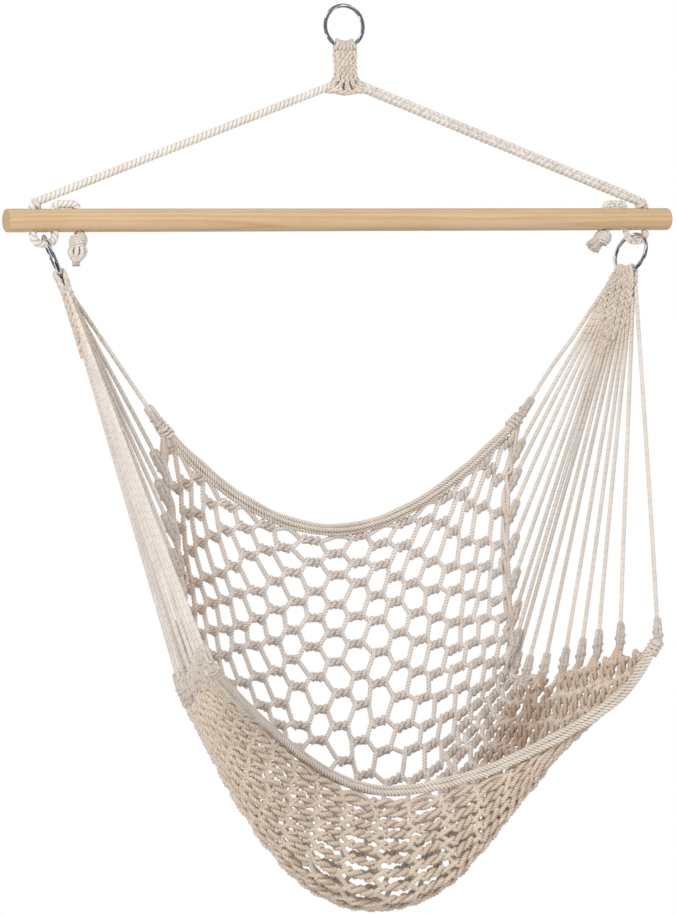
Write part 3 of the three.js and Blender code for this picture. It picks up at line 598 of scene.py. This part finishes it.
def stopper(side, word):
    """The knotted rope end: turns of cord, a bulb of bights below them and the cut end."""
    build = Build()
    top = np.array((side * INNER_HOLE, 0.0, BAR_Z - BAR_DIA / 2 - GAP))
    lean = about_y(KNOT_LEAN[side])

    def put(points, radius, **more):
        build.cord(even(points, FINE) @ lean.T + top, radius, **more)

    core = [(0, 0, 3.0), (0, 0, -14.0), (-0.5, 0, -27.0)]
    put(core, 4.3, depth=0.2, pitch=24.0, sides=12, tone=0.3)
    a = np.linspace(0, 1, 90)
    q = 2 * pi * 5.2 * a * side
    r = 5.6 + 3.0 * np.sin(pi * np.clip(a * 0.9 + 0.05, 0, 1))
    turns = np.stack([r * np.cos(q) + 0.8 * a, r * np.sin(q), -2.4 - 13.6 * a + 1.6 * np.cos(q)], 1)
    put(turns, 1.75, depth=0.12, pitch=10.0, sides=8, tone=0.02)
    put([(0, 0, -3.0), (0.5, 0, -9.0), (0.6, 0, -16.0)], 7.4, lobes=0, sides=16, tone=0.4)
    for i in range(8 if side < 0 else 0):
        g = 2 * pi * i / 8 + 0.3
        out = np.array((cos(g), sin(g), 0))
        bight = [out * 4.6 + (0, 0, -14.5), out * 8.3 + (0, 0, -18.0), out * 8.0 + (0, 0, -22.5),
                 out * 5.0 + (-0.6, 0, -27.0), out * 2.2 + (-1.0, 0, -30.5)]
        put(through(bight, FINE), 2.5, depth=0.12, pitch=9.0, sides=8, tone=0.04, phase=i)
    # The cut end: a brush of strands, turned aside on the right
    end, strands, half, long, bend, thick = KNOT_ENDS[side]
    aside = about_y(bend)
    for i in range(strands):
        g, q = i * 2.4, half * sqrt((i + 0.5) / strands)
        out = np.array((q * cos(g), q * sin(g), 0))
        strand = even([out * 0.8 + (0, 0, 5.0), out + (0, 0, -2.0),
                       out * 1.12 + (0, 0, -long - 0.7 * sin(i * 5.1))], FINE)
        put(strand @ aside.T + end, thick, lobes=0, sides=5, tone=0.1 + 0.14 * (i % 3))
    ride(build.make(f"stopper_knot_{word}_tied", rope_mat), "hanger", "rope", f"stopper_knot_{word}")


for side, word in SIDES:
    stopper(side, word)

# ---- neck and its bights

WRAPS, WRAP_R = 6.0, 2.5
LAYER_DEEP, CHAINS, CHAIN_APART = 3.2, 5, 5.0
WIRE_LOW = RING_Z - RING_R
# How the neck's chains end, by their distance from the middle one: across, depth as a share
# of the layer's, and down from the ring's wire
CHAIN_ENDS = (((0, 1, -42), (0.4, 0.7, -51.5)),
              ((6.6, 1, -39.0), (11.5, 0.9, -44.8), (19.0, 0.6, -48.6)),
              ((12.9, 1, -37.0), (17.5, 0.8, -41.0), (22.0, 0.6, -43.6)))
HEM = ((-24, 0.6, -47.6), (-12, 0.8, -48.2), (-4, 0.9, -50.0),
       (4, 0.9, -50.0), (12, 0.8, -48.2), (24, 0.6, -47.6))


def hitch():
    """A cord wound round the top ring's wire, side by side, about its lowest point."""
    a = np.linspace(0, 1, int(WRAPS * 26))
    along = BIGHT_HALF * 0.94 * (2 * a - 1)
    around = (2 * pi * WRAPS * a + pi)[:, None]
    out = np.sin(along)[:, None] * X - np.cos(along)[:, None] * Z
    path = np.array((0, 0, RING_Z)) + out * RING_R + (BORE_R + 2.4) * over(around, out, Y)
    build = Build()
    build.cord(even(path, STEP), WRAP_R, pitch=15.0, depth=0.22, sides=9, tone=0.1)
    ride(build.make("ring_hitch_wraps", weave_mat), "hitch", "woven_cord", "ring_hitch")


def neck():
    """Two layers of plaited chains that spread to the ropes, with a hem along the bottom."""
    build = Build()
    for layer in (-1, 1):
        y = layer * LAYER_DEEP
        top_z = WIRE_LOW - sqrt((BIGHT_R + GAP) ** 2 - y ** 2) - 0.6
        for col in range(CHAINS):
            off = col - CHAINS // 2
            side, x = -1 if off < 0 else 1, off * CHAIN_APART
            chain = [(x * 1.02, layer * 4.6, top_z + 3.4), (x, y * 1.15, top_z - 1),
                     (x * 0.95, y, WIRE_LOW - 20), (x * 0.97, y, WIRE_LOW - 31)]
            chain += [(side * ex, y * share, WIRE_LOW + ez)
                      for ex, share, ez in CHAIN_ENDS[abs(off)]]
            plait(build, through(chain, STEP), 3, 1.45, 1.25, 1.75, 21.0, Y, 1.1, 0.08,
                  phase=col * 1.9 + layer)
        hem = [(ex, y * share, WIRE_LOW + ez) for ex, share, ez in HEM]
        plait(build, through(hem, STEP), 3, 1.3, 1.2, 1.6, 21.0, Y, 1.1, 0.08, tone=0.03)
    ride(build.make("neck_band_woven", weave_mat), "hanger", "woven_cord", "neck_band")


hitch()
neck()

# ---- the net's surface

NV, NS = 260, 180
# How the front has settled, from left to right, and from which share of the net's length on
SETTLED = (0, -8, -14, -16, -13, -7, -1, 6, 14, 19, 24, 22, 0)
SETTLED_FROM, SETTLED_OVER, SETTLED_OUT, SETTLED_DOWN = 0.7, 0.25, 0.6, 0.8
# How far the bag hangs to the left, wider and higher than its corners call for
SWAY, SPREAD, LIFT = 6.5, 4.0, 7.0


def spline(table, v):
    """A table of rows as a smooth curve, at shares v of its length."""
    table = np.asarray(table, float)
    if table.ndim == 1:
        table = table[:, None]
    ext = extended(table)
    last = len(table) - 1
    x = np.clip(v, 0, 1) * last
    i = np.minimum(x.astype(int), last - 1)
    return smooth(ext[i], ext[i + 1], ext[i + 2], ext[i + 3], (x - i)[..., None])


def net_point(t, v):
    """The net as in the CAD source: t from -1 to 1 across, v from 0 at the back to 1 in front."""
    t, v = np.broadcast_arrays(t, v)
    edge, mid, full = spline(EDGE, v), spline(MIDDLE, v), spline(FULL, v)[..., 0]
    ex, ey, ez = HALF_WIDTH * edge[..., 0], -REACH * edge[..., 1], -DROP * edge[..., 2]
    cy, cz = -REACH * mid[..., 0], -DROP * mid[..., 1]
    sag = 1 - np.abs(t) ** full
    x, y, z = ex * t, ey + (cy - ey) * sag, BAR_Z + ez + (cz - ez) * sag
    c, s = cos(TURN), sin(TURN)
    return np.stack([x * c - y * s, x * s + y * c, z], -1)


grid_v = np.linspace(0, 1, NV + 1)
fine_t = np.linspace(-1, 1, 361)
grid = np.zeros((NV + 1, NS + 1, 3))
row_length = np.zeros(NV + 1)
for i, v in enumerate(grid_v):
    s = run(net_point(fine_t, v))
    row_length[i] = s[-1]
    grid[i] = net_point(np.interp(np.linspace(0, s[-1], NS + 1), s, fine_t), v)

# The front has settled down and out on the right, and is drawn up a little on the left
shares = np.linspace(0, 1, NS + 1)
ease = np.clip((grid_v - SETTLED_FROM) / SETTLED_OVER, 0, 1)
drop = (ease * ease * (3 - 2 * ease))[:, None] * spline(SETTLED, shares)[:, 0]
grid[..., 0] += SETTLED_OUT * np.maximum(drop, 0)
grid[..., 2] -= np.where(drop > 0, SETTLED_DOWN, 1.0) * drop
# The bag hangs a little to the left of its corners' middle, and is full at its lower right
sway = np.interp(grid_v, (0.45, 0.65, 0.88, 0.98), (0, 1, 1, 0))[:, None]
grid[..., 0] += SPREAD * sway * np.sin(pi * (2 * shares - 1))
sway = sway * (1 - (2 * shares - 1) ** 6) * (1 + 0.9 * np.exp(-((shares - 0.7) / 0.1) ** 2))
grid[..., 0] -= SWAY * sway
grid[..., 2] += LIFT * sway
normals = units(np.cross(np.gradient(grid, axis=1), np.gradient(grid, axis=0)))


def sample(field, share, v):
    x, y = np.clip(share, 0, 1) * NS, np.clip(v, 0, 1) * NV
    i, j = np.minimum(y.astype(int), NV - 1), np.minimum(x.astype(int), NS - 1)
    fy, fx = (y - i)[..., None], (x - j)[..., None]
    return ((1 - fy) * ((1 - fx) * field[i, j] + fx * field[i, j + 1])
            + fy * ((1 - fx) * field[i + 1, j] + fx * field[i + 1, j + 1]))


def row_point(share, v):
    return sample(grid, share, v)


# The knots down the side edge, one at every second row of the CAD source
KNOT_V = [0.055 + 0.9 * ((2 * i - 1) / 28) ** 1.15 for i in range(1, FAN - 1)]
KNOT_V = np.array([0.0] + KNOT_V + [1.0])

# ---- clews and fans

FAN_CORD, FAN_LAY = 2.45, {"pitch": 9.0, "sides": 8, "depth": 0.16}
# How far from the ring the cords leave the woven strip, and how dirty they are there
LEAVE = (24, 33, 42, 50, 57, 63, 69, 75, 79, 76, 72, 67, 60, 50, 38, 26)
DARKENED = (0, 0, 0.01, 0, 0.02, 0.05, 0.15, 0.07, 0.2, 0.1, 0.18, 0.05, 0.04, 0.02, 0, 0)
# The strip's chains of stitches: how long each is
COLUMN_ENDS = (56.0, 72.0, 84.0, 76.0, 64.0)
WEAVE_STEP, WEAVE_LONG = 1.2, 104.0
CLEW_LOOPS = 6

rng = np.random.default_rng(7)


def outward(side, angle):
    """From a lower ring's centre, at an angle from the way the sling pulls."""
    _, fx, _, fz = ring_frames[side]
    return sin(angle) * fx - cos(angle) * fz


def fan(side):
    """The doubled cords of a fan: root at the ring, end of the clew, knot, and their direction."""
    cords = []
    for i, v in enumerate(KNOT_V):
        end = net_point(side, v)
        q = 2 * i / (FAN - 1) - 1
        angle = BIGHT_HALF * copysign(abs(q) ** ROOT_SPREAD, q)
        root = ring_frames[side][0] + outward(side, angle) * (RING_R + (BORE_R + BIGHT_R) / 2)
        way = unit(end - root)
        length = CLEW_MIDDLE + (CLEW_REACH - CLEW_MIDDLE) * abs(q)
        cords.append((root, root + way * length, end, way))
    return cords


fans = {side: fan(side) for side, _ in SIDES}


def clew(side, word):
    """The woven strip below a ring: chains of V-stitches, which the outer cords leave early."""
    centre, _, fy, _ = ring_frames[side]
    build = Build()
    roots, ways = (np.array([cord[part] for cord in fans[side]]) for part in (0, 3))
    steps = np.arange(1.0, WEAVE_LONG, WEAVE_STEP)
    first = np.interp(steps, (18, 66), (0, 5))
    last = np.interp(steps, (18, 34, 90), (15, 14, 11))

    def fan_point(q, d):
        return np.stack([np.interp(q, range(FAN), root) + d * np.interp(q, range(FAN), way)
                         for root, way in zip(roots.T, ways.T)], -1)

    left_edge, right_edge = fan_point(first, steps), fan_point(last, steps)
    gap = np.linalg.norm(right_edge - left_edge, axis=1) / len(COLUMN_ENDS)
    for m, column_end in enumerate(COLUMN_ENDS):
        spine = fan_point(first + (last - first) * (m + 0.5) / len(COLUMN_ENDS), steps)
        web = unit(np.cross(right_edge[-1] - left_edge[-1], spine[-1] - spine[0]))
        web = -web if web @ fy < 0 else web
        blend = np.interp(steps, (0, 60), (1, 0))[:, None]
        out = blend * fy + (1 - blend) * web
        off = np.interp(steps, (0, 14, 50, 104), (4.2, 3.0, 2.3, 2.0))[:, None]
        keep = int(column_end / WEAVE_STEP)
        width = np.interp(np.linspace(0, keep, 7), range(len(gap)), gap) * 0.5 - 1.25
        width[-1] = 0.9
        for layer in (-1, 1):
            face = (spine + layer * off * out)[:keep]
            plait(build, face, 3, 1.0, 1.2, 1.85, 21.0, web, 1.15, 0.15, tone=0.04, lay=10.0,
                  phase=m * 2.1 + layer, scale=(np.linspace(0, 1, 7), width))
        build.cord(spine[6:keep - 3], 2.4, pitch=12.0, sides=7, tone=0.1)
        # Each chain is tied off at its tip
        for turn in (0.0, 2.1):
            q = np.linspace(turn, turn + 4.4, 14)[:, None]
            coil = spine[keep - 2] + 3.0 * over(q, web, np.cross(web, out[-1]))
            build.cord(coil, 1.7, pitch=9.0, sides=7, tone=0.22)
    for angle in BIGHT_HALF * np.linspace(-0.9, 0.9, CLEW_LOOPS):
        out = outward(side, angle)
        wire, down = centre + out * RING_R, ways[7] * 0.6 + out * 0.4
        loop = [wire + (BORE_R + 2.3) * (cos(q) * fy - sin(q) * out)
                for q in np.linspace(-radians(40), radians(220), 26)]
        legs = [loop[0] + down * d - fy * 0.12 * d for d in (14.0, 7.0)]
        legs += loop + [loop[-1] + down * d + fy * 0.12 * d for d in (7.0, 14.0)]
        build.cord(through(legs, STEP), FAN_CORD, sides=9, depth=0.1)
    for i, (root, foot, _, way) in enumerate(fans[side]):
        path = even([root + way * (LEAVE[i] - 9.0), foot + way * 2], FINE)
        build.cord(path, FAN_CORD, phase=i, tone=DARKENED[i], **FAN_LAY)
    ride(build.make(f"clew_weave_{word}_woven", weave_mat), "sling", "woven_cord",
         f"clew_weave_{word}")


def knot(build, end, way, ref, beside, turn):
    """Two bights hooded over the cord's end, their legs toward the net, and a wrap about them."""
    for axis, other, half, top in ((beside, ref, 3.4, 21.0), (ref, beside, 3.0, 15.0)):
        q = np.linspace(0, pi, 9)[:, None]
        bend = end - way * top + half * (np.cos(q) * axis - np.sin(q) * way)
        hood = np.vstack([end + way * 6 + axis * 1.8, end - way * 6 + axis * half, bend,
                          end - way * 6 - axis * half, end + way * 6 - axis * 1.8])
        path = through(hood + other * 0.6, FINE)
        tone = 0.2 + 0.22 * np.abs(np.linspace(-1, 1, len(path))) ** 2
        build.cord(path, 2.5, pitch=9.0, sides=8, depth=0.26, tone=tone, phase=turn)
    a = np.linspace(0, 1, 50)[:, None]
    q = 2 * pi * 1.25 * a + turn
    coil = end - way * (11.0 - 10.0 * a)
    coil = coil + 4.3 * np.cos(q) * ref + 4.8 * np.sin(q) * beside
    build.cord(even(coil, FINE), 2.1, pitch=8.0, sides=8, depth=0.26, tone=0.26)


def clew_cords(side, word):
    """Cords from the weave to the knots, four of them to a piece."""
    for part in range(4):
        build = Build()
        chosen = range(part * 4, part * 4 + 4)
        for i in chosen:
            _, start, end, way = fans[side][i]
            ref = unit(np.cross(way, ring_frames[side][2]))
            beside = np.cross(way, ref)
            span = np.linalg.norm(end - start) - 20
            bow = rng.normal(0, 0.7, 2)
            pts = [start - way * 12, start]
            pts += [start + way * f * span + sin(pi * f) * (bow[0] * ref + bow[1] * beside)
                    for f in (0.33, 0.66)]
            pts += [end - way * 18, end - way * 2]
            build.cord(through(pts, STEP), FAN_CORD, phase=rng.uniform(0, 6), tone=DARKENED[i],
                       **FAN_LAY)
            knot(build, end, way, ref, beside, i * 1.3)
        ride(build.make(f"clew_cords_{word}_{part + 1}", cord_mat), "sling", "net_cord",
             *[f"clew_cord_{word}_{i + 1:02d}" for i in chosen])


for side, word in SIDES:
    clew(side, word)
    clew_cords(side, word)

# ---- rims

RIM_STEP = 1.15


def rim(name, v, strand, apart, thick):
    """Thick cords side by side, laid opposite ways in turn and drawn together at the corners."""
    build = Build()
    spine = even(row_point(np.linspace(0.0, 1.0, 500), np.full(500, v)), RIM_STEP)
    corner = sample(normals, 0.004, 0.01 if v == 0 else 0.99)
    n, b = frames(spine, corner)
    s = np.arange(len(spine)) * RIM_STEP
    full = np.interp(np.minimum(s, s[-1] - s), (4, 70), (0.55, 1))
    # The left half of the front rim is more worn
    tone = 0.04 + 0.14 * v * np.interp(s / s[-1], (0, 0.15, 0.42, 0.55), (0.7, 1, 1, 0))
    lay = {"depth": 0.36, "sides": 12, "first": corner, "tone": tone}
    for i in (-1, 0, 1):
        lift = thick * (1 if i == 0 else -0.4) + 0.4 * np.sin(s / 7.0 + i * 2.1)
        path = spine + (full * (i * apart + 0.4 * np.sin(s / 11.0 + i)))[:, None] * b
        pitch = (1 if i else -1) * strand * 3.9
        build.cord(path + lift[:, None] * n, strand, pitch=pitch, phase=i, **lay)
    build.cord(spine - n * thick * 1.6, strand, pitch=strand * 3.9, **lay)
    # Where the rim's end is whipped to the corner
    for first, way in ((0, 1), (len(spine) - 1, -1)):
        a = np.linspace(0, 1, 90)
        at = first + way * (1.0 + 14.0 * a)
        centre = np.stack([np.interp(at, np.arange(len(spine)), values) for values in spine.T], 1)
        q = (2 * pi * 3.3 * a)[:, None]
        coil = centre + (strand + 2.6) * over(q, b[first], n[first])
        build.cord(even(coil, FINE), 2.3, pitch=10.0, sides=8, tone=0.08)
    ride(build.make(f"{name}_plaited", rim_mat), "sling", "plaited_rim", name)


rim("back_rim", 0.0, 2.9, 4.2, 1.5)
rim("front_rim", 1.0, 3.5, 5.4, 2.0)

# ---- net

COLS, CORD_R = 19, 3.0
CROWD_LEFT, CROWD_RIGHT = 0.25, 0.17
# How far the rows climb to the sides, and the spacing of rows down the middle
CLIMB = 3.0
SPACING = ((0, 0.15, 0.3, 0.5, 0.62, 0.7, 0.85, 1), (12, 14, 17, 19, 11, 8, 7.2, 6.8))
# Down to here the net's cords run on along the side edge from their knots
FREE_EDGE = 0.62
PANEL_ROWS = ("upper_back", "lower_back", "seat", "front")
NET_LAY = {"pitch": 11.0, "depth": 0.27}

density = 1 / np.interp(grid_v, *SPACING)
middle_s = run(row_point(np.full(NV + 1, 0.5), grid_v))
count = np.concatenate([[0], np.cumsum(np.diff(middle_s) * (density[1:] + density[:-1]) / 2)])
ROWS = int(round(count[-1])) - 1
count *= (ROWS + 1) / count[-1]
column_s = run(grid)

# How the twists have worked loose: across, down and in length
slack, places = np.random.default_rng(11), (80, COLS + 2)
loose_share = slack.normal(0, 0.085, places)
loose_row = slack.normal(0, 0.1, places)
loose_half = slack.uniform(0.86, 1.16, places)


def row_v(row, share):
    """Where a row lies down the net: rows climb toward the sides and keep clear of the rims."""
    x = 2 * share - 1
    part = (row + 1) / (ROWS + 1)
    climb = CLIMB * x * x * sin(pi * min(max(part, 0), 1)) ** 0.7
    v = np.interp(row + 1 - climb, count, grid_v)
    s = column_s[:, min(max(int(round(share * NS)), 0), NS)]
    low = BACK_RIM / 2 + 3.6 + 6.0 * row
    high = s[-1] - FRONT_RIM / 2 - 5.5 - 6.0 * (ROWS - 1 - row)
    return np.interp(min(max(np.interp(v, grid_v, s), low), high), s, grid_v)


def column(j):
    """The columns crowd toward the sides."""
    u = 2 * (j + 1) / (COLS + 1) - 1
    crowd = CROWD_LEFT if u < 0 else CROWD_RIGHT
    return 0.5 + 0.5 * (u * (1 + crowd) - crowd * u ** 3)


def place(row, j):
    """A twist's place in the net, a little off the regular grid."""
    share = column(j)
    calm = 1 - 0.6 * np.interp(row, (ROWS * 0.55, ROWS * 0.75), (0, 1))
    share += calm * (loose_share[row, j] + 0.16 * sin(row * 0.9 + j * 0.5)) / (COLS + 1)
    wave = 0.22 * sin(j * 0.8 + row * 0.35) * sin(pi * (row + 1) / (ROWS + 1))
    return share, row_v(row + calm * (loose_row[row, j] + wave), share)


def bunched_shade(share, v):
    """Painted shade where the net's cords bunch, brown at two places of its sides: at the seat's
    right and the back's left.
    """
    seat_right_shade = 0.55 * exp(-((share - 0.91) / 0.12) ** 2 - ((v - 0.64) / 0.08) ** 2)
    return seat_right_shade + 0.26 * exp(-((share - 0.03) / 0.1) ** 2 - ((v - 0.16) / 0.16) ** 2)


def twist(sign, row, j):
    """Points of one cord through a twist, a full turn round its neighbour, and their tones of
    painted shade.
    """
    share, v = place(row, j)
    x = abs(2 * share - 1)
    crowd = CROWD_LEFT if share < 0.5 else CROWD_RIGHT
    pitch = np.interp(v, grid_v, row_length) / (COLS + 1) * (1 + crowd - 3 * crowd * x * x)
    # Twists fill the rows in the seat's sides, on the far left and up against the front rim
    dense = max(np.interp(v, (0.55, 0.72), (0, 1)) * np.interp(x, (0.3, 0.75), (0.25, 1)),
                np.interp(share, (0.0, 0.22), (0.9, 0.0)),
                np.interp(row, (ROWS - 6, ROWS - 3), (0.0, 1.0)))
    half = (0.28 * loose_half[row, j] + 0.16 * dense) * pitch
    e = 0.3 / (COLS + 1)
    a = unit(row_point(share + e, v) - row_point(share - e, v))
    n = sample(normals, share, v)
    b = np.cross(a, n)
    # The painted shade of the twists is left off at the front's left, which shows lighter.
    twist_shade_mask = 1 - exp(-(share / 0.24) ** 2) * np.interp(v, (0.62, 0.74), (0, 1))
    pts, tones = [], []
    for f in np.linspace(-1, 1, 9):
        w = pi * (f + 1)
        around = sign * CORD_R * 0.82 * (cos(w) * b + sin(w) * n)
        pts.append(row_point(share, v) + a * half * f + around)
        # Painted shade: darkest mid-twist, where the two cords wind together, and darker on one face
        # of the net than on the other.
        tones.append(bunched_shade(share, v) + twist_shade_mask * (0.05 + 0.14 * sin(w / 2) - 0.07 * sign * sin(w)))
    return pts, tones


def edge_v(k):
    return (row_v(max(k - 1, 0), 0.0) + row_v(min(k, ROWS - 1), 0.0)) / 2


def home(k):
    """The knot that a cord of the net goes to: up along the back's side edge, or the nearest."""
    if k in (0, ROWS):
        return (FAN - 1) * (k > 0)
    v = edge_v(k)
    if v > FREE_EDGE:
        return int(np.argmin(np.abs(KNOT_V - v)))
    return int(np.searchsorted(KNOT_V, v, side="right")) - 1


homes = [home(k) for k in range(ROWS + 1)]


def selvage(k, side):
    """From the knot down along the side edge, beside its neighbours, to the cord's own row."""
    _, _, end, way = fans[side][homes[k]]
    mates = [m for m in range(ROWS + 1) if homes[m] == homes[k]]
    slot = len(mates) - 1 - mates.index(k)
    v0, v1 = KNOT_V[homes[k]], edge_v(k)
    lean = (mates.index(k) - (len(mates) - 1) / 2) * 2.4
    pts = [end - way * 7, end + way * 1.0 + unit(np.cross(way, Y)) * lean * 0.3]

    def lay(f, gap, lift):
        v = v0 + (v1 - v0) * f
        share = gap / np.interp(v, grid_v, row_length)
        share = share if side < 0 else 1 - share
        n = sample(normals, share, v) * (1.9 if slot % 2 else -1.6)
        pts.append(row_point(share, v) + n * lift)

    free = v1 <= FREE_EDGE
    if free and k < ROWS:
        for f in np.linspace(0.2, 1, max(2, int(abs(v1 - v0) / 0.012) + 1)):
            lay(f, 2.0 + slot * 4.6 * min(1, f * 2.5), 1)
    elif k < ROWS:
        for gap in (10.0, 20.0):
            lay(gap / 34.0, gap, 1 - gap / 34.0 * 0.5)
    return pts, list(np.linspace(0.3 if free else 0.42, 0.14, len(pts)))


def round_rim(share, front):
    """Where the first or last cord of the net bears on a rim."""
    centre = row_point(share, 1.0 if front else 0.0)
    step = unit(row_point(share, 0.985 if front else 0.015) - centre)
    return centre + step * ((FRONT_RIM if front else BACK_RIM) / 2 + CORD_R * 0.5)


def net_cord(k):
    """The route of one cord from its knot on the left to its knot on the right."""
    pts, tones = selvage(k, -1)
    for j in range(COLS):
        low = (j + k) % 2 == 0
        if k == (ROWS if low else 0):
            more, more_tones = [round_rim(column(j), low)], [0.15]
        else:
            more, more_tones = twist(-1 if low else 1, k if low else k - 1, j)
        pts += more
        tones += more_tones
    more, more_tones = selvage(k, 1)
    return np.array(pts + more[::-1]), np.array(tones + more_tones[::-1])


def net():
    builds = [Build() for _ in PANEL_ROWS]
    for k in range(ROWS + 1):
        pts, tones = net_cord(k)
        # Tones ride along as a fourth coordinate through the same curve
        full = through(np.column_stack([pts, tones * 10.0]), 1.15)
        tones = np.clip(full[:, 3] / 10.0, 0, 0.6)
        build = builds[k * 4 // (ROWS + 1)]
        build.cord(full[:, :3], CORD_R, phase=k * 1.3, tone=tones, **NET_LAY)
    # Two cords laid together run down each side edge of the back
    seam = edge_v((ROWS + 1) // 4)
    for side, _ in SIDES:
        for build, v0, v1 in ((builds[0], 0.015, seam), (builds[1], seam, FREE_EDGE)):
            v = np.linspace(v0, v1, 120)
            gap = 4.2 / np.interp(v, grid_v, row_length)
            share = gap if side < 0 else 1 - gap
            way, n = row_point(share, v), sample(normals, share, v)
            b = np.cross(units(np.gradient(way, axis=0)), n)
            turn = (2 * pi * 6.5 * v / FREE_EDGE)[:, None]
            for start in (0.0, pi):
                out = over(turn + start, b, n)
                build.cord(even(way + 2.5 * out, FINE), 2.7, phase=start,
                           tone=0.16 + 0.08 * side * cos(start), **NET_LAY)
    for build, rows in zip(builds, PANEL_ROWS):
        ride(build.make(f"net_{rows}_cords", net_mat), "sling", "net_cord",
             *[f"net_{rows}_{cols}" for cols in ("left", "middle", "right")])


net()

# ---- floor, light and background

FLOOR_Z, FLOOR_HALF = -1.42, 30
CARD_DISTANCE, CARD_FACES, CARD_LOW = 3.0, 8, -1.35


def square(x, y, z, half):
    return [(x + half * a, y + half * b, z) for a, b in ((-1, -1), (1, -1), (1, 1), (-1, 1))]


def studio_floor():
    """A pale floor that runs out into the white background beyond the object's shadow."""
    mat, tree, bsdf = new_material("floor")
    tree.feed(bsdf, {"Base Color": (0.86, 0.86, 0.86), "Roughness": 0.9})
    away = tree.node("VectorMath", {0: tree.node("TexCoord").outputs["Object"]}, operation="LENGTH")
    reach = tree.remap(away.outputs["Value"], 0.6, 1.7, 0, 1)
    glow = tree.node("Emission", {"Color": WHITE, "Strength": 1.0}).outputs[0]
    blend = tree.node("MixShader", {0: tree.calc("MULTIPLY", tree.seen(), reach),
                                    1: bsdf.outputs[0], 2: glow})
    tree.feed(tree.nodes["Material Output"], {"Surface": blend.outputs[0]})
    floor = mesh_object("floor", square(0, 0, 0, FLOOR_HALF), [(0, 1, 2, 3)], mat)
    floor.location = (0, 0, FLOOR_Z)


def studio_world():
    """A soft even light, seen as white."""
    world = bpy.data.worlds.new("studio")
    bpy.context.scene.world = world
    tree = Tree(world)
    tree.nodes.clear()
    light, white = (tree.node("Background", {"Color": WHITE, "Strength": strength}).outputs[0]
                    for strength in (0.6, 1.0))
    both = tree.node("MixShader", {0: tree.seen(), 1: light, 2: white})
    tree.node("OutputWorld", {"Surface": both.outputs[0]})


def lamp(name, location, target, size, power):
    data = bpy.data.lights.new(name, "AREA")
    data.shape, data.size, data.energy = "DISK", size, power
    obj = link(name, data)
    obj.location = location
    obj.rotation_euler = (Vector(target) - Vector(location)).to_track_quat("-Z", "Y").to_euler()
    obj.visible_glossy = False


def cards():
    """Dark cards that only the chrome sees, with bright slots between them."""
    mat, tree, bsdf = new_material("card")
    tree.feed(bsdf, {"Base Color": (0.01, 0.01, 0.01), "Roughness": 0.9,
                     "Emission Color": (0.026, 0.033, 0.062), "Emission Strength": 1.0})
    made = []
    for i, (a0, a1, high) in enumerate(((-200, -134, 1.9), (-126, -66, 2.6), (-58, 6, 1.9),
                                        (20, 100, 1.9))):
        angles = np.radians(np.linspace(a0, a1, CARD_FACES + 1))
        verts = [(CARD_DISTANCE * cos(q), CARD_DISTANCE * sin(q), z)
                 for z in (CARD_LOW, high) for q in angles]
        faces = [(k, k + 1, k + CARD_FACES + 2, k + CARD_FACES + 1) for k in range(CARD_FACES)]
        made.append(mesh_object(f"card_{i + 1}", verts, faces, mat))
    for i, level in enumerate(((0.5, 0.0, 2.7, 2.0), (0.0, -0.6, -1.36, 1.7))):
        made.append(mesh_object(f"card_level_{i + 1}", square(*level), [(0, 1, 2, 3)], mat))
    for card in made:
        for flag in ("camera", "diffuse", "shadow", "transmission"):
            setattr(card, f"visible_{flag}", False)


studio_floor()
studio_world()
lamp("key", (-3.2, -2.5, 1.3), (0, 0, -0.55), 1.6, 90)
lamp("fill", (2.7, -2.6, 1.0), (0, 0, -0.5), 2.2, 34)
lamp("rim_light", (1.0, 3.0, 1.4), (0, 0, -0.5), 1.8, 25)
cards()

bpy.context.scene.view_settings.view_transform = "Standard"
